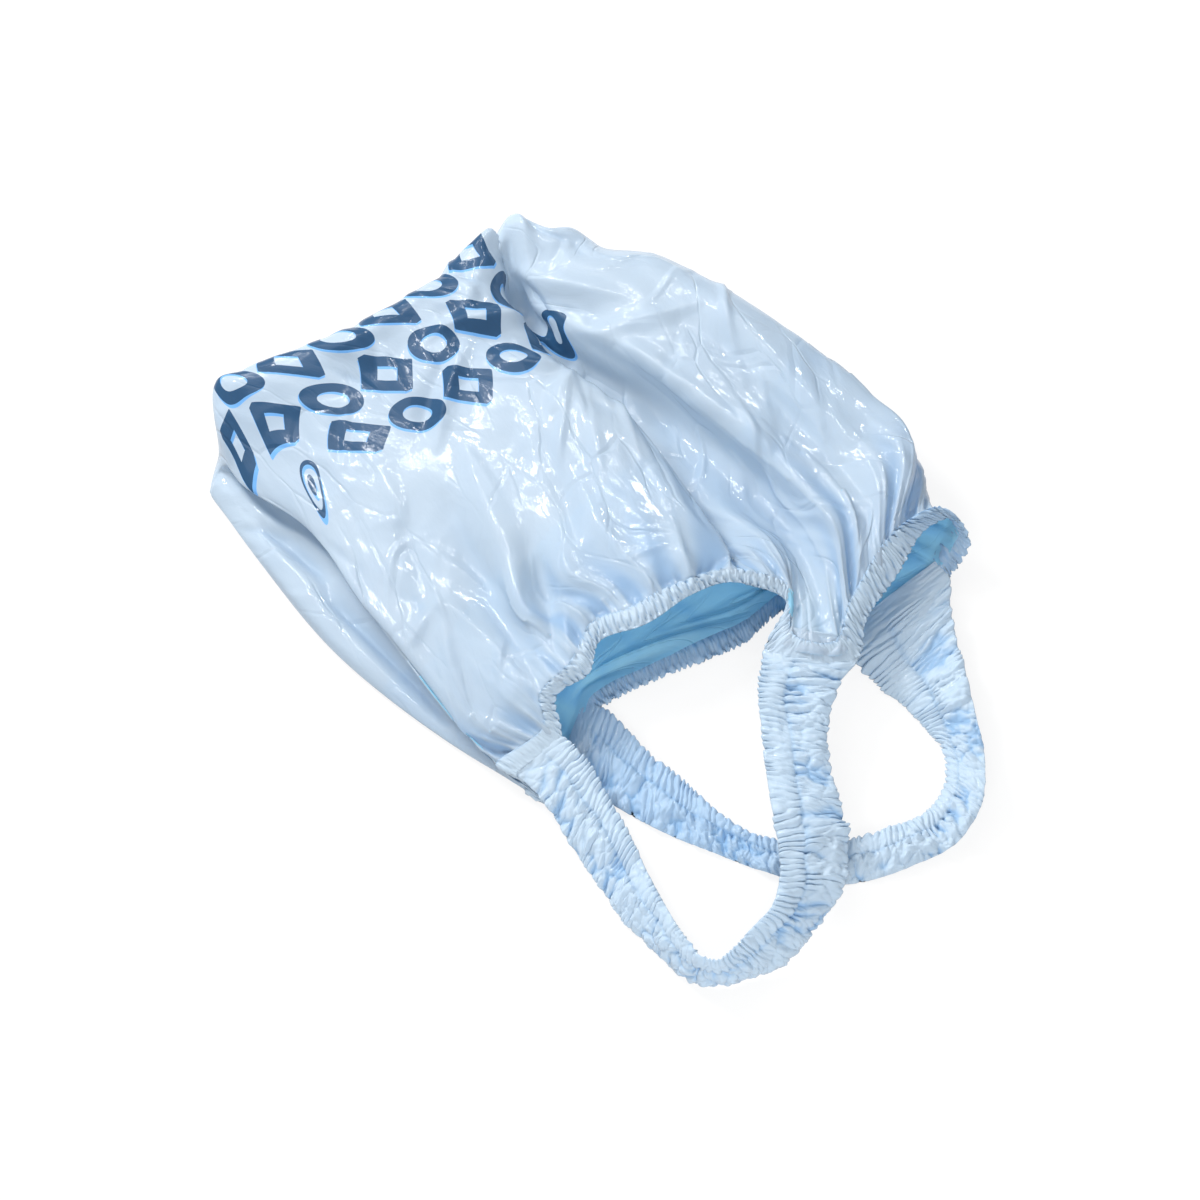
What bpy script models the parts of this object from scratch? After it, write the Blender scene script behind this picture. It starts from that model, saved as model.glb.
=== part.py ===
"""Carrier bag of glossy coated film with gathered hems and two gathered handles, lying crumpled.

The bag lies with its closed end up and left of the drawing and its mouth down and right. Every outline is
drawn by hand as (across, down, height): two places on a drawing seen from 55 degrees above the floor, in
drawing steps, and a height in millimetres at the drawn size. One step is 0.8 mm at the drawn size.
"""

import math

import bpy
import numpy as np
from mathutils import Matrix, Vector

# Sizes in metres. The body's height is that of its highest fold, and the handles reach out past the mouth.
BODY_WIDTH = 0.372
BODY_LENGTH = 0.416
BODY_HEIGHT = 0.062
FILM = 0.0008
HEM_THICKNESS = 0.0034
STRAP_WIDTH = 0.054
STRAP_THICKNESS = 0.0064
HANDLE_REACH = 0.149
SEAM_GAP = 0.0004
ROOT_RUN = 0.006
GATHER_DEPTH = 0.0022

# The drawing: its viewing angle, its middle and the sizes it was drawn at, in steps or millimetres.
VIEW_ANGLE = math.radians(55)
DRAWN_MIDDLE = np.array([591.3, 611.7])
DRAWN_MM = 0.8
DRAWN_WIDTH_MM = 372.0
DRAWN_LENGTH_MM = 416.0
DRAWN_HEIGHT_MM = 62.0
DRAWN_STRAP_MM = 54.0
DRAWN_REACH_MM = 149.0
DRAWN_MOUTH_MM = 190.0

# The bag's length runs from its closed end to its mouth, its width to the right of that.
LENGTHWISE = np.array([0.734, -0.679])
WIDTHWISE = np.array([0.679, 0.734])

# Sections of the body from its closed end to its mouth. Each is a closed ring of (turn, across, down,
# height): turn 0 is the left side on the floor, 0.25 the front, 0.5 the right side and 0.75 the back.
CLOSED_END = [
    (0.00, 206, 490, 2), (0.09, 212, 462, 6), (0.13, 222, 425, 6), (0.19, 290, 385, 6),
    (0.26, 370, 348, 6), (0.33, 455, 285, 6), (0.40, 490, 258, 6), (0.48, 525, 255, 6),
    (0.52, 540, 254, 4), (0.56, 530, 262, 0), (0.75, 375, 355, 0), (0.90, 240, 425, 0),
    (0.97, 208, 480, 0),
]
END_ROLL = [
    (0.00, 208, 496, 2), (0.03, 211, 485, 8), (0.06, 218, 470, 10), (0.09, 219, 457, 20),
    (0.13, 209, 384, 46), (0.17, 246, 363, 50), (0.19, 300, 342, 52), (0.225, 345, 324, 52),
    (0.26, 390, 298, 52), (0.29, 430, 272, 54), (0.31, 450, 253, 54), (0.33, 480, 222, 58),
    (0.36, 492, 232, 50), (0.40, 511, 204, 62), (0.45, 530, 213, 56), (0.48, 545, 220, 52),
    (0.50, 560, 219, 44), (0.52, 562, 226, 32), (0.54, 558, 236, 16), (0.56, 548, 250, 4),
    (0.60, 510, 280, 0), (0.75, 390, 350, 0), (0.90, 265, 420, 0), (0.97, 212, 480, 0),
]
PRINT_START = [
    (0.00, 222, 514, 3), (0.03, 234, 500, 10), (0.06, 252, 482, 8), (0.09, 238, 482, 22),
    (0.13, 270, 440, 38), (0.17, 315, 408, 46), (0.19, 345, 390, 48), (0.225, 395, 355, 52),
    (0.26, 440, 330, 54), (0.29, 490, 312, 54), (0.31, 512, 305, 44), (0.33, 505, 295, 24),
    (0.36, 515, 285, 24), (0.40, 525, 272, 48), (0.45, 545, 258, 56), (0.48, 575, 240, 58),
    (0.50, 595, 235, 50), (0.52, 603, 238, 36), (0.54, 600, 250, 18), (0.56, 590, 270, 4),
    (0.60, 550, 310, 0), (0.75, 410, 400, 0), (0.90, 285, 480, 0), (0.97, 232, 508, 0),
]
UPPER = [
    (0.00, 262, 566, 3), (0.03, 280, 552, 13), (0.06, 318, 520, 8), (0.09, 302, 524, 26),
    (0.13, 345, 497, 38), (0.17, 395, 455, 44), (0.19, 425, 432, 46), (0.225, 465, 400, 52),
    (0.26, 505, 375, 54), (0.29, 540, 357, 52), (0.31, 552, 352, 42), (0.33, 540, 350, 20),
    (0.36, 548, 335, 24), (0.40, 560, 318, 44), (0.45, 600, 300, 54), (0.48, 635, 275, 58),
    (0.50, 655, 255, 54), (0.52, 665, 248, 42), (0.54, 664, 265, 20), (0.56, 650, 290, 4),
    (0.60, 610, 330, 0), (0.75, 470, 440, 0), (0.90, 330, 540, 0), (0.97, 270, 562, 0),
]
MIDDLE = [
    (0.00, 340, 655, 3), (0.03, 362, 632, 14), (0.06, 405, 610, 8), (0.09, 388, 634, 26),
    (0.13, 425, 592, 35), (0.165, 462, 548, 38), (0.19, 497, 538, 46), (0.225, 535, 495, 50),
    (0.26, 575, 458, 56), (0.29, 612, 425, 56), (0.31, 632, 414, 44), (0.33, 620, 425, 18),
    (0.36, 648, 408, 16), (0.40, 672, 400, 26), (0.45, 698, 390, 50), (0.48, 722, 350, 52),
    (0.50, 745, 312, 54), (0.52, 757, 300, 44), (0.54, 756, 318, 22), (0.56, 742, 342, 4),
    (0.60, 700, 385, 0), (0.75, 560, 500, 0), (0.90, 410, 612, 0), (0.97, 350, 650, 0),
]
LOWER = [
    (0.00, 455, 742, 3), (0.03, 470, 722, 10), (0.06, 490, 705, 8), (0.09, 462, 728, 22),
    (0.12, 490, 690, 32), (0.15, 505, 650, 40), (0.17, 512, 622, 38), (0.19, 530, 610, 48),
    (0.205, 546, 598, 40), (0.225, 565, 580, 52), (0.26, 620, 545, 56), (0.29, 680, 515, 56),
    (0.31, 716, 530, 44), (0.33, 700, 535, 22), (0.355, 738, 520, 34), (0.385, 765, 522, 26),
    (0.41, 785, 520, 22), (0.45, 812, 490, 46), (0.475, 838, 462, 44), (0.50, 862, 430, 48),
    (0.52, 872, 392, 42), (0.54, 870, 410, 22), (0.56, 855, 435, 4), (0.60, 820, 470, 0),
    (0.75, 660, 590, 0), (0.90, 520, 690, 0), (0.97, 462, 738, 0),
]
SHOULDER = [
    (0.00, 500, 770, 3), (0.03, 498, 757, 10), (0.06, 505, 740, 8), (0.09, 482, 745, 20),
    (0.12, 512, 712, 32), (0.15, 525, 675, 42), (0.17, 538, 650, 42), (0.19, 560, 625, 48),
    (0.22, 590, 600, 52), (0.26, 645, 575, 56), (0.29, 690, 560, 56), (0.31, 728, 556, 46),
    (0.33, 724, 556, 34), (0.355, 765, 545, 44), (0.385, 790, 560, 36), (0.41, 812, 575, 34),
    (0.45, 840, 532, 50), (0.475, 862, 510, 48), (0.50, 888, 478, 52), (0.52, 914, 449, 50),
    (0.54, 926, 468, 34), (0.56, 924, 492, 14), (0.60, 892, 530, 1), (0.64, 850, 560, 0),
    (0.75, 700, 610, 0), (0.90, 545, 710, 0), (0.97, 505, 765, 0),
]
HEM_LINE = [
    (0.00, 530, 788, 3), (0.03, 520, 777, 7), (0.06, 513, 766, 9), (0.09, 500, 757, 17),
    (0.11, 530, 738, 26), (0.13, 545, 722, 32), (0.15, 540, 694, 40), (0.18, 572, 660, 47),
    (0.21, 592, 622, 50), (0.24, 630, 606, 52), (0.28, 680, 582, 54), (0.33, 745, 570, 50),
    (0.36, 790, 590, 42), (0.38, 788, 628, 40), (0.40, 808, 640, 40), (0.42, 832, 640, 38),
    (0.45, 848, 600, 42), (0.49, 878, 550, 46), (0.53, 905, 522, 46), (0.56, 938, 508, 42),
    (0.58, 952, 520, 26), (0.60, 935, 555, 12), (0.62, 925, 570, 6), (0.65, 885, 605, 0),
    (0.68, 838, 628, 0), (0.70, 800, 590, 0), (0.74, 730, 622, 0), (0.79, 660, 650, 0),
    (0.84, 600, 680, 1), (0.86, 585, 690, 1), (0.89, 575, 715, 1), (0.92, 562, 745, 1),
    (0.96, 545, 770, 0),
]
MOUTH_EDGE = [
    (0.00, 548, 799, 3), (0.03, 541, 790, 5), (0.06, 532, 780, 9), (0.09, 520, 768, 16),
    (0.11, 544, 749, 23), (0.13, 562, 732, 28), (0.15, 556, 698, 36), (0.18, 588, 672, 42),
    (0.21, 600, 640, 46), (0.24, 640, 627, 48), (0.28, 690, 595, 50), (0.33, 745, 585, 46),
    (0.36, 785, 608, 38), (0.38, 764, 650, 34), (0.40, 805, 660, 34), (0.42, 848, 662, 30),
    (0.45, 862, 622, 34), (0.49, 895, 575, 36), (0.53, 928, 527, 38), (0.56, 958, 520, 34),
    (0.58, 968, 545, 24), (0.60, 950, 574, 14), (0.62, 943, 580, 8), (0.65, 900, 622, 4),
    (0.68, 846, 648, 3), (0.70, 800, 612, 3), (0.74, 740, 645, 3), (0.79, 670, 672, 3),
    (0.84, 612, 698, 4), (0.86, 598, 706, 5), (0.89, 592, 735, 5), (0.92, 575, 770, 4),
    (0.96, 560, 792, 3),
]
SECTIONS = [
    (0.00, CLOSED_END), (0.05, END_ROLL), (0.13, PRINT_START), (0.27, UPPER),
    (0.50, MIDDLE), (0.75, LOWER), (0.86, SHOULDER), (0.93, HEM_LINE), (1.00, MOUTH_EDGE),
]

# Where the handles are sewn to the mouth: the turns of each root's outer and inner end.
FRONT_LEFT_ROOT_SHARE = (0.09, 0.13)
FRONT_RIGHT_ROOT_SHARE = (0.42, 0.38)
REAR_RIGHT_ROOT_SHARE = (0.62, 0.68)
REAR_LEFT_ROOT_SHARE = (0.92, 0.86)

# The handles between their roots: (across, down, height) of the outer edge, then of the inner edge.
FRONT_HANDLE = [
    ((545, 798, 13), (583, 750, 25)), ((572, 840, 6), (605, 785, 20)), ((600, 880, 4), (630, 830, 18)),
    ((632, 920, 1), (655, 880, 22)), ((665, 952, 1), (680, 920, 30)), ((697, 971, 1), (700, 941, 38)),
    ((722, 971, 1), (712, 943, 40)), ((752, 962, 1), (728, 932, 38)), ((785, 942, 4), (745, 915, 34)),
    ((815, 912, 8), (766, 893, 34)), ((838, 868, 16), (774, 862, 32)), ((842, 830, 22), (772, 835, 32)),
    ((832, 790, 26), (764, 780, 32)), ((823, 745, 30), (759, 735, 34)), ((826, 710, 32), (756, 698, 36)),
    ((836, 682, 32), (757, 672, 36)),
]
REAR_HANDLE = [
    ((950, 615, 14), (872, 682, 1)), ((960, 665, 18), (900, 706, 1)), ((970, 715, 22), (924, 730, 1)),
    ((977, 765, 22), (939, 752, 1)), ((972, 800, 16), (938, 783, 4)), ((948, 836, 8), (918, 806, 8)),
    ((905, 858, 4), (890, 818, 10)), ((855, 874, 1), (855, 830, 8)), ((800, 875, 1), (800, 835, 6)),
    ((765, 866, 1), (765, 832, 6)), ((715, 848, 1), (720, 810, 6)), ((660, 826, 1), (675, 770, 6)),
    ((615, 802, 1), (640, 742, 6)), ((590, 785, 1), (612, 712, 6)),
]

# Mesh density: columns run lengthwise, closer on top than underneath, and one passes each quarter of a root.
TOP_COLUMNS = 62
TOP_TURN_SHARE = 0.01
UNDER_COLUMNS = 25
UNDER_TURN_SHARE = 0.015
BODY_ROWS = 20
HEM_ROWS = 4
HEM_START_SHARE = 0.93
HEM_RISE_SHARE = 0.03
SEAM_END_TURN = 0.54
GATHERS = 25
GATHER_START_SHARE = 0.72
STRAP_ROWS = 90
STRAP_GATHERS = 30
GATHER_SHARE = 0.16
STRAP_ACROSS_SHARE = np.array([1, 0.5, 0, -0.5, -1, -0.5, 0, 0.5])
STRAP_FACE_SHARE = np.array([0, 1, 1, 1, 0, -1, -1, -1])
ROOT_FADE_SHARE = 0.08

BODY_COLOUR = (0.58, 0.72, 0.88)
BODY_ROUGHNESS = 0.22
STRAP_COLOUR = (0.56, 0.70, 0.87)
STRAP_ROUGHNESS = 0.3


def unit(vectors):
    """The vectors at length one."""
    return vectors / np.maximum(np.linalg.norm(vectors, axis=-1, keepdims=True), 1e-12)


def curve(knots, values, at):
    """Smooth curve through values at the knots, read at the given places: a cubic between each two knots,
    whose slope at a knot is that of the line between its neighbours."""
    knots = np.asarray(knots, float)
    values = np.asarray(values, float)
    slopes = np.gradient(values, knots, axis=0, edge_order=1)
    cell = np.clip(np.searchsorted(knots, at, side="right") - 1, 0, len(knots) - 2)
    span = knots[cell + 1] - knots[cell]
    t = ((at - knots[cell]) / span)[:, None]
    span = span[:, None]
    flat_shape = values.reshape(len(knots), -1)
    flat_slope = slopes.reshape(len(knots), -1)
    start, end = flat_shape[cell], flat_shape[cell + 1]
    rise, fall = flat_slope[cell] * span, flat_slope[cell + 1] * span
    blend = t * t * (3 - 2 * t)
    result = start + (end - start) * blend + rise * t * (1 - t) ** 2 - fall * t * t * (1 - t)
    return result.reshape((len(at),) + values.shape[1:])


def ring(section, turns):
    """A closed section read at the given turns."""
    table = np.array(section, float)
    wrapped = np.vstack([table[-3:] - [1, 0, 0, 0], table, table[:3] + [1, 0, 0, 0]])
    return curve(wrapped[:, 0], wrapped[:, 1:], turns)


def place(drawn):
    """World place in metres of drawn points. A drawn point's floor place undoes the slanted view, its length
    and width are scaled to the body's, and what lies past the mouth is scaled to the handles' reach."""
    steps = np.asarray(drawn, float)
    height = steps[..., 2]
    across = (steps[..., 0] - DRAWN_MIDDLE[0]) * DRAWN_MM
    down = (DRAWN_MIDDLE[1] - steps[..., 1]) * DRAWN_MM
    away = (down - height * math.cos(VIEW_ANGLE)) / math.sin(VIEW_ANGLE)
    along = across * LENGTHWISE[0] + away * LENGTHWISE[1]
    aside = across * WIDTHWISE[0] + away * WIDTHWISE[1]
    outside = np.maximum(along - DRAWN_MOUTH_MM, 0)
    along = (along - outside) * BODY_LENGTH / DRAWN_LENGTH_MM + outside * HANDLE_REACH / DRAWN_REACH_MM
    aside = aside * BODY_WIDTH / DRAWN_WIDTH_MM
    floor = along[..., None] * LENGTHWISE + aside[..., None] * WIDTHWISE
    lift = height[..., None] * BODY_HEIGHT / DRAWN_HEIGHT_MM
    return np.concatenate([floor, lift], axis=-1)


def face_directions(grid):
    """Outward unit direction at each point of a grid whose rows close on themselves."""
    around = np.roll(grid, -1, axis=1) - np.roll(grid, 1, axis=1)
    along = np.gradient(grid, axis=0)
    return unit(np.cross(along, around))


def body_surface(turns, lengths):
    """Outer face of the film as a grid, and its outward directions. Rows run around the bag, one for each
    place along its length, read from the sections. The mouth's gathers are waves that fade into the body."""
    rings = np.array([ring(section, turns) for _, section in SECTIONS])
    grid = place(curve([length for length, _ in SECTIONS], rings, lengths))
    outward = face_directions(grid)
    gathered = (lengths - GATHER_START_SHARE) / (HEM_START_SHARE - GATHER_START_SHARE)
    fade = np.clip(gathered, 0, 1)[:, None] ** 2
    wave = GATHER_DEPTH * fade * np.sin(2 * math.pi * GATHERS * turns)
    lifted = np.clip(grid[..., 2] / (6 * GATHER_DEPTH), 0, 1)
    grid += outward * (wave * lifted)[..., None]
    grid[..., 2] = np.maximum(grid[..., 2], 0)
    return grid, outward


def mesh_object(name, points, faces, colour, roughness):
    """One closed body with its own material."""
    mesh = bpy.data.meshes.new(name)
    mesh.from_pydata([tuple(point) for point in points], [], faces)
    mesh.update()
    mesh.shade_smooth()
    material = bpy.data.materials.new(name)
    material.use_nodes = True
    shader = material.node_tree.nodes["Principled BSDF"]
    shader.inputs["Base Color"].default_value = (*colour, 1)
    shader.inputs["Roughness"].default_value = roughness
    shader.inputs["Metallic"].default_value = 0.0
    mesh.materials.append(material)
    body = bpy.data.objects.new(name, mesh)
    bpy.context.scene.collection.objects.link(body)
    return body


def tube_faces(rows, columns, first):
    """Quads between closed rows of points, numbered from first. They face into the tube where its rows turn
    to the right as seen from its first row."""
    faces = []
    for row in range(rows - 1):
        for column in range(columns):
            after = (column + 1) % columns
            low, high = first + row * columns, first + (row + 1) * columns
            faces.append((low + column, low + after, high + after, high + column))
    return faces


def flat_end(columns, first, split):
    """Faces that close a flattened row: its upper run of points, up to split, zipped to its lower run."""
    upper = list(range(0, split + 1))
    lower = [(-step) % columns for step in range(0, columns - split + 1)]
    faces = []
    high, low = 0, 0
    while high < len(upper) - 1 or low < len(lower) - 1:
        high_share = (high + 1) / (len(upper) - 1)
        low_share = (low + 1) / (len(lower) - 1)
        if high_share <= low_share:
            corners = (upper[high], upper[high + 1], lower[low])
            high += 1
        else:
            corners = (upper[high], lower[low + 1], lower[low])
            low += 1
        if len(set(corners)) == 3:
            faces.append(tuple(first + corner for corner in corners))
    return faces


def build_body():
    """The film body: an outer and an inner face, closed at the seam end and joined round the mouth. The film
    is thicker along the hem, where it is turned back on itself over its elastic. Returned with the mouth for
    the handles: the turns, the hem's outer and inner edge and the direction out of the mouth."""
    under = TOP_COLUMNS * TOP_TURN_SHARE + np.arange(UNDER_COLUMNS) * UNDER_TURN_SHARE
    turns = np.concatenate([np.arange(TOP_COLUMNS) * TOP_TURN_SHARE, under])
    body = np.linspace(0, HEM_START_SHARE, BODY_ROWS, endpoint=False)
    lengths = np.concatenate([body, np.linspace(HEM_START_SHARE, 1, HEM_ROWS)])
    outer, outward = body_surface(turns, lengths)
    hem = np.clip(1 - (HEM_START_SHARE - lengths) / HEM_RISE_SHARE, 0, 1)[:, None, None]
    wall = FILM + (HEM_THICKNESS - FILM) * hem
    inner = outer - outward * wall
    inner[..., 2] = np.maximum(inner[..., 2], FILM)
    rows, columns = outer.shape[:2]
    count = rows * columns
    split = int(np.argmin(abs(turns - SEAM_END_TURN)))
    faces = tube_faces(rows, columns, count) + flat_end(columns, 0, split)
    facing_in = tube_faces(rows, columns, 0) + flat_end(columns, count, split)
    rim, inner_rim = (rows - 1) * columns, count + (rows - 1) * columns
    for column in range(columns):
        after = (column + 1) % columns
        facing_in.append((rim + column, rim + after, inner_rim + after, inner_rim + column))
    faces += [tuple(reversed(face)) for face in facing_in]
    points = np.concatenate([outer.reshape(-1, 3), inner.reshape(-1, 3)])
    piece = mesh_object("bag_body", points, faces, BODY_COLOUR, BODY_ROUGHNESS)
    return piece, (turns, outer[-1], inner[-1], unit(outer[-1] - outer[-2]))


def strap_half_thickness(thickness):
    """Half the strap's thickness at each point across it: fullest in the middle, none at its edges."""
    return thickness / 2 * np.sqrt(1 - STRAP_ACROSS_SHARE ** 2)


def root_ring(mouth, root):
    """The strap's end ring at one root, and the direction out of the mouth there. The ring follows the
    mouth's edge between the root's two ends, a seam's gap out, and is as thick as the hem."""
    turns, outer, inner, outward = mouth
    at = root[1] + (root[0] - root[1]) * (STRAP_ACROSS_SHARE + 1) / 2
    high, low, out = (np.array([np.interp(at, turns, values[:, axis]) for axis in range(3)]).T
                      for values in (outer, inner, outward))
    out = unit(out)
    face = unit(high - low) * (strap_half_thickness(HEM_THICKNESS) * STRAP_FACE_SHARE)[:, None]
    return (high + low) / 2 + face + out * SEAM_GAP, out


def build_handle(name, drawn, start, end, mouth):
    """A gathered strap as one closed body: a flattened ring swept between its outer and inner edge. Its ends
    meet the mouth at the two roots, a seam's gap away, and first run straight out from there."""
    first, first_out = root_ring(mouth, start)
    last, last_out = root_ring(mouth, end)
    rims = [int(np.argmax(STRAP_ACROSS_SHARE)), int(np.argmin(STRAP_ACROSS_SHARE))]
    edges = np.concatenate([
        first[None, rims], (first + first_out * ROOT_RUN)[None, rims], place(drawn),
        (last + last_out * ROOT_RUN)[None, rims], last[None, rims],
    ])
    centres = edges.mean(axis=1)
    width = np.full((len(edges), 1), STRAP_WIDTH * 1000 / DRAWN_STRAP_MM)
    width[:2] = width[-2:] = 1
    steps = np.linalg.norm(np.diff(centres, axis=0), axis=1)
    places = np.concatenate([[0], np.cumsum(steps)]) / steps.sum()
    at = np.linspace(0, 1, STRAP_ROWS)
    middle = curve(places, centres, at)
    half = curve(places, (edges[:, 0] - edges[:, 1]) / 2 * width, at)
    upward = unit(np.cross(half, np.gradient(middle, axis=0)))
    facing = first[STRAP_FACE_SHARE > 0].mean(axis=0) - first[STRAP_FACE_SHARE < 0].mean(axis=0)
    upward *= np.sign(np.sum(upward[0] * facing))
    near_root = 1 - np.clip(np.minimum(at, 1 - at) / ROOT_FADE_SHARE, 0, 1)
    near_root = (near_root ** 2 * (3 - 2 * near_root))[:, None, None]
    gathers = 1 + GATHER_SHARE * np.sin(2 * math.pi * STRAP_GATHERS * at)[:, None, None] * (1 - near_root)
    thickness = (strap_half_thickness(STRAP_THICKNESS) * (1 - near_root[..., 0]) * gathers[..., 0]
                 + strap_half_thickness(HEM_THICKNESS) * near_root[..., 0])
    rows = (middle[:, None] + half[:, None] * STRAP_ACROSS_SHARE[:, None]
            + upward[:, None] * (thickness * STRAP_FACE_SHARE)[..., None])
    at_start = (at < 0.5)[:, None, None]
    rows += near_root * np.where(at_start, first - rows[0], last - rows[-1])
    rows[..., 2] = np.maximum(rows[..., 2], 0)
    sides = len(STRAP_ACROSS_SHARE)
    faces = flat_end(sides, 0, sides // 2)
    facing_in = tube_faces(STRAP_ROWS, sides, 0) + flat_end(sides, (STRAP_ROWS - 1) * sides, sides // 2)
    faces += [tuple(reversed(face)) for face in facing_in]
    return mesh_object(name, rows.reshape(-1, 3), faces, STRAP_COLOUR, STRAP_ROUGHNESS)


def centre_on_floor(pieces):
    """Moves the whole bag so that the middle of its base is at the origin."""
    corners = np.array([vertex.co for piece in pieces for vertex in piece.data.vertices])
    low, high = corners.min(axis=0), corners.max(axis=0)
    shift = Matrix.Translation(-Vector(((low[0] + high[0]) / 2, (low[1] + high[1]) / 2, low[2])))
    for piece in pieces:
        piece.data.transform(shift)


def main():
    for item in list(bpy.data.objects):
        bpy.data.objects.remove(item)
    body, mouth = build_body()
    front = build_handle("front_handle", FRONT_HANDLE, FRONT_LEFT_ROOT_SHARE, FRONT_RIGHT_ROOT_SHARE, mouth)
    rear = build_handle("rear_handle", REAR_HANDLE, REAR_RIGHT_ROOT_SHARE, REAR_LEFT_ROOT_SHARE, mouth)
    centre_on_floor([body, front, rear])


main()
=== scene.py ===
# %% [markdown]
# A crumpled carrier bag of light blue coated film
#
# The bag is sewn from thin coated film. Its mouth is drawn in by elastic, so the film bursts into gathers
# there, and two loop handles, gathered in the same way, are sewn to the mouth. This lesson dresses the
# plain solids of that bag: it shapes the film and its ruffles as surfaces worked out with numpy, gives them
# a glossy coating and lights them softly on a white floor.

# %% Load the frame
import math

import bpy
import numpy as np
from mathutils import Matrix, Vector


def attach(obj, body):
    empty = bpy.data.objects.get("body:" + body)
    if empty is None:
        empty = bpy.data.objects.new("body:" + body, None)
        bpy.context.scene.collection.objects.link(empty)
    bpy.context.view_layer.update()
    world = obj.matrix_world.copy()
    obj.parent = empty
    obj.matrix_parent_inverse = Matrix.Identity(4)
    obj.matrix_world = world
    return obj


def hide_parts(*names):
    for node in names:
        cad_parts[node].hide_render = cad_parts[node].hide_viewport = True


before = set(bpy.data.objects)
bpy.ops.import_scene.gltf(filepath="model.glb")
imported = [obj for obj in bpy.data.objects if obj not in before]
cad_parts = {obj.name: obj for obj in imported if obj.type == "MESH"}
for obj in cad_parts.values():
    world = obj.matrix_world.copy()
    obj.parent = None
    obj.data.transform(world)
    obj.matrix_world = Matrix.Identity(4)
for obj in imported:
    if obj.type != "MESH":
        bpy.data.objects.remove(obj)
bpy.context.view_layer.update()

# %% [markdown]
# Camera, light and floor
#
# The photograph looks down at about 55 degrees with a long lens, so the camera stands far away and the bag
# keeps nearly the same scale from front to back. A coated film shows its folds by how each side is lit and
# by what it mirrors. Three lamps that it doesn't mirror light it from behind on the left, at the mouth and
# from the right. A broad faint one gives its sheen, and four small ones the glints and streaks on its ridges.

# %% Camera
VIEW_ANGLE = math.radians(55)
FRAME_WIDTH_M = 0.96
LENS_MM, SENSOR_MM = 200.0, 36.0
CAMERA_DISTANCE = FRAME_WIDTH_M * LENS_MM / SENSOR_MM
AIM = Vector((0.007, 0.0115, 0.0))

camera_data = bpy.data.cameras.new("camera")
camera_data.lens, camera_data.sensor_width = LENS_MM, SENSOR_MM
camera_data.clip_end = 50
camera = bpy.data.objects.new("camera", camera_data)
camera.location = AIM + Vector((0, -math.cos(VIEW_ANGLE), math.sin(VIEW_ANGLE))) * CAMERA_DISTANCE
camera.rotation_euler = (math.pi / 2 - VIEW_ANGLE, 0, 0)
bpy.context.scene.collection.objects.link(camera)
bpy.context.scene.camera = camera
bpy.context.scene.view_settings.view_transform = "Standard"
print("camera stands", round(CAMERA_DISTANCE, 2), "m away")

# %% Small helpers for colours, nodes and meshes


def linear(hex_colour):
    """An sRGB hex colour as linear red, green, blue and alpha, by the sRGB curve."""
    channels = np.array([int(hex_colour[i:i + 2], 16) / 255 for i in (1, 3, 5)])
    return (*np.where(channels <= 0.04045, channels / 12.92, ((channels + 0.055) / 1.055) ** 2.4), 1.0)


def add_node(material, kind, settings=None, **inputs):
    """One node of that kind. Settings are its own properties, and inputs are values or sockets to link. An
    input's name has underscores for spaces, and input_0 and so on stand for sockets by number."""
    node = material.node_tree.nodes.new("ShaderNode" + kind)
    for key, value in (settings or {}).items():
        setattr(node, key, value)
    for key, value in inputs.items():
        socket = node.inputs[int(key[6:])] if key.startswith("input_") else node.inputs[key.replace("_", " ")]
        if isinstance(value, bpy.types.NodeSocket):
            material.node_tree.links.new(value, socket)
        else:
            socket.default_value = value
    return node


def new_material(name):
    """An empty node material and its output node."""
    material = bpy.data.materials.new(name)
    material.use_nodes = True
    material.node_tree.nodes.clear()
    return material, material.node_tree.nodes.new("ShaderNodeOutputMaterial")


def pairs(first, second):
    """Two arrays, spread to one shape, as places on a plane."""
    return np.stack(np.broadcast_arrays(first, second), axis=-1)


def lengths_along(points):
    """How far along the line through the points each of them stands."""
    return np.concatenate([[0], np.cumsum(np.linalg.norm(np.diff(points, axis=0), axis=1))])


def span_mm(values):
    """The least and the greatest value, in millimetres."""
    return [round(1000 * float(value), 1) for value in (values.min(), values.max())]


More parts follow.
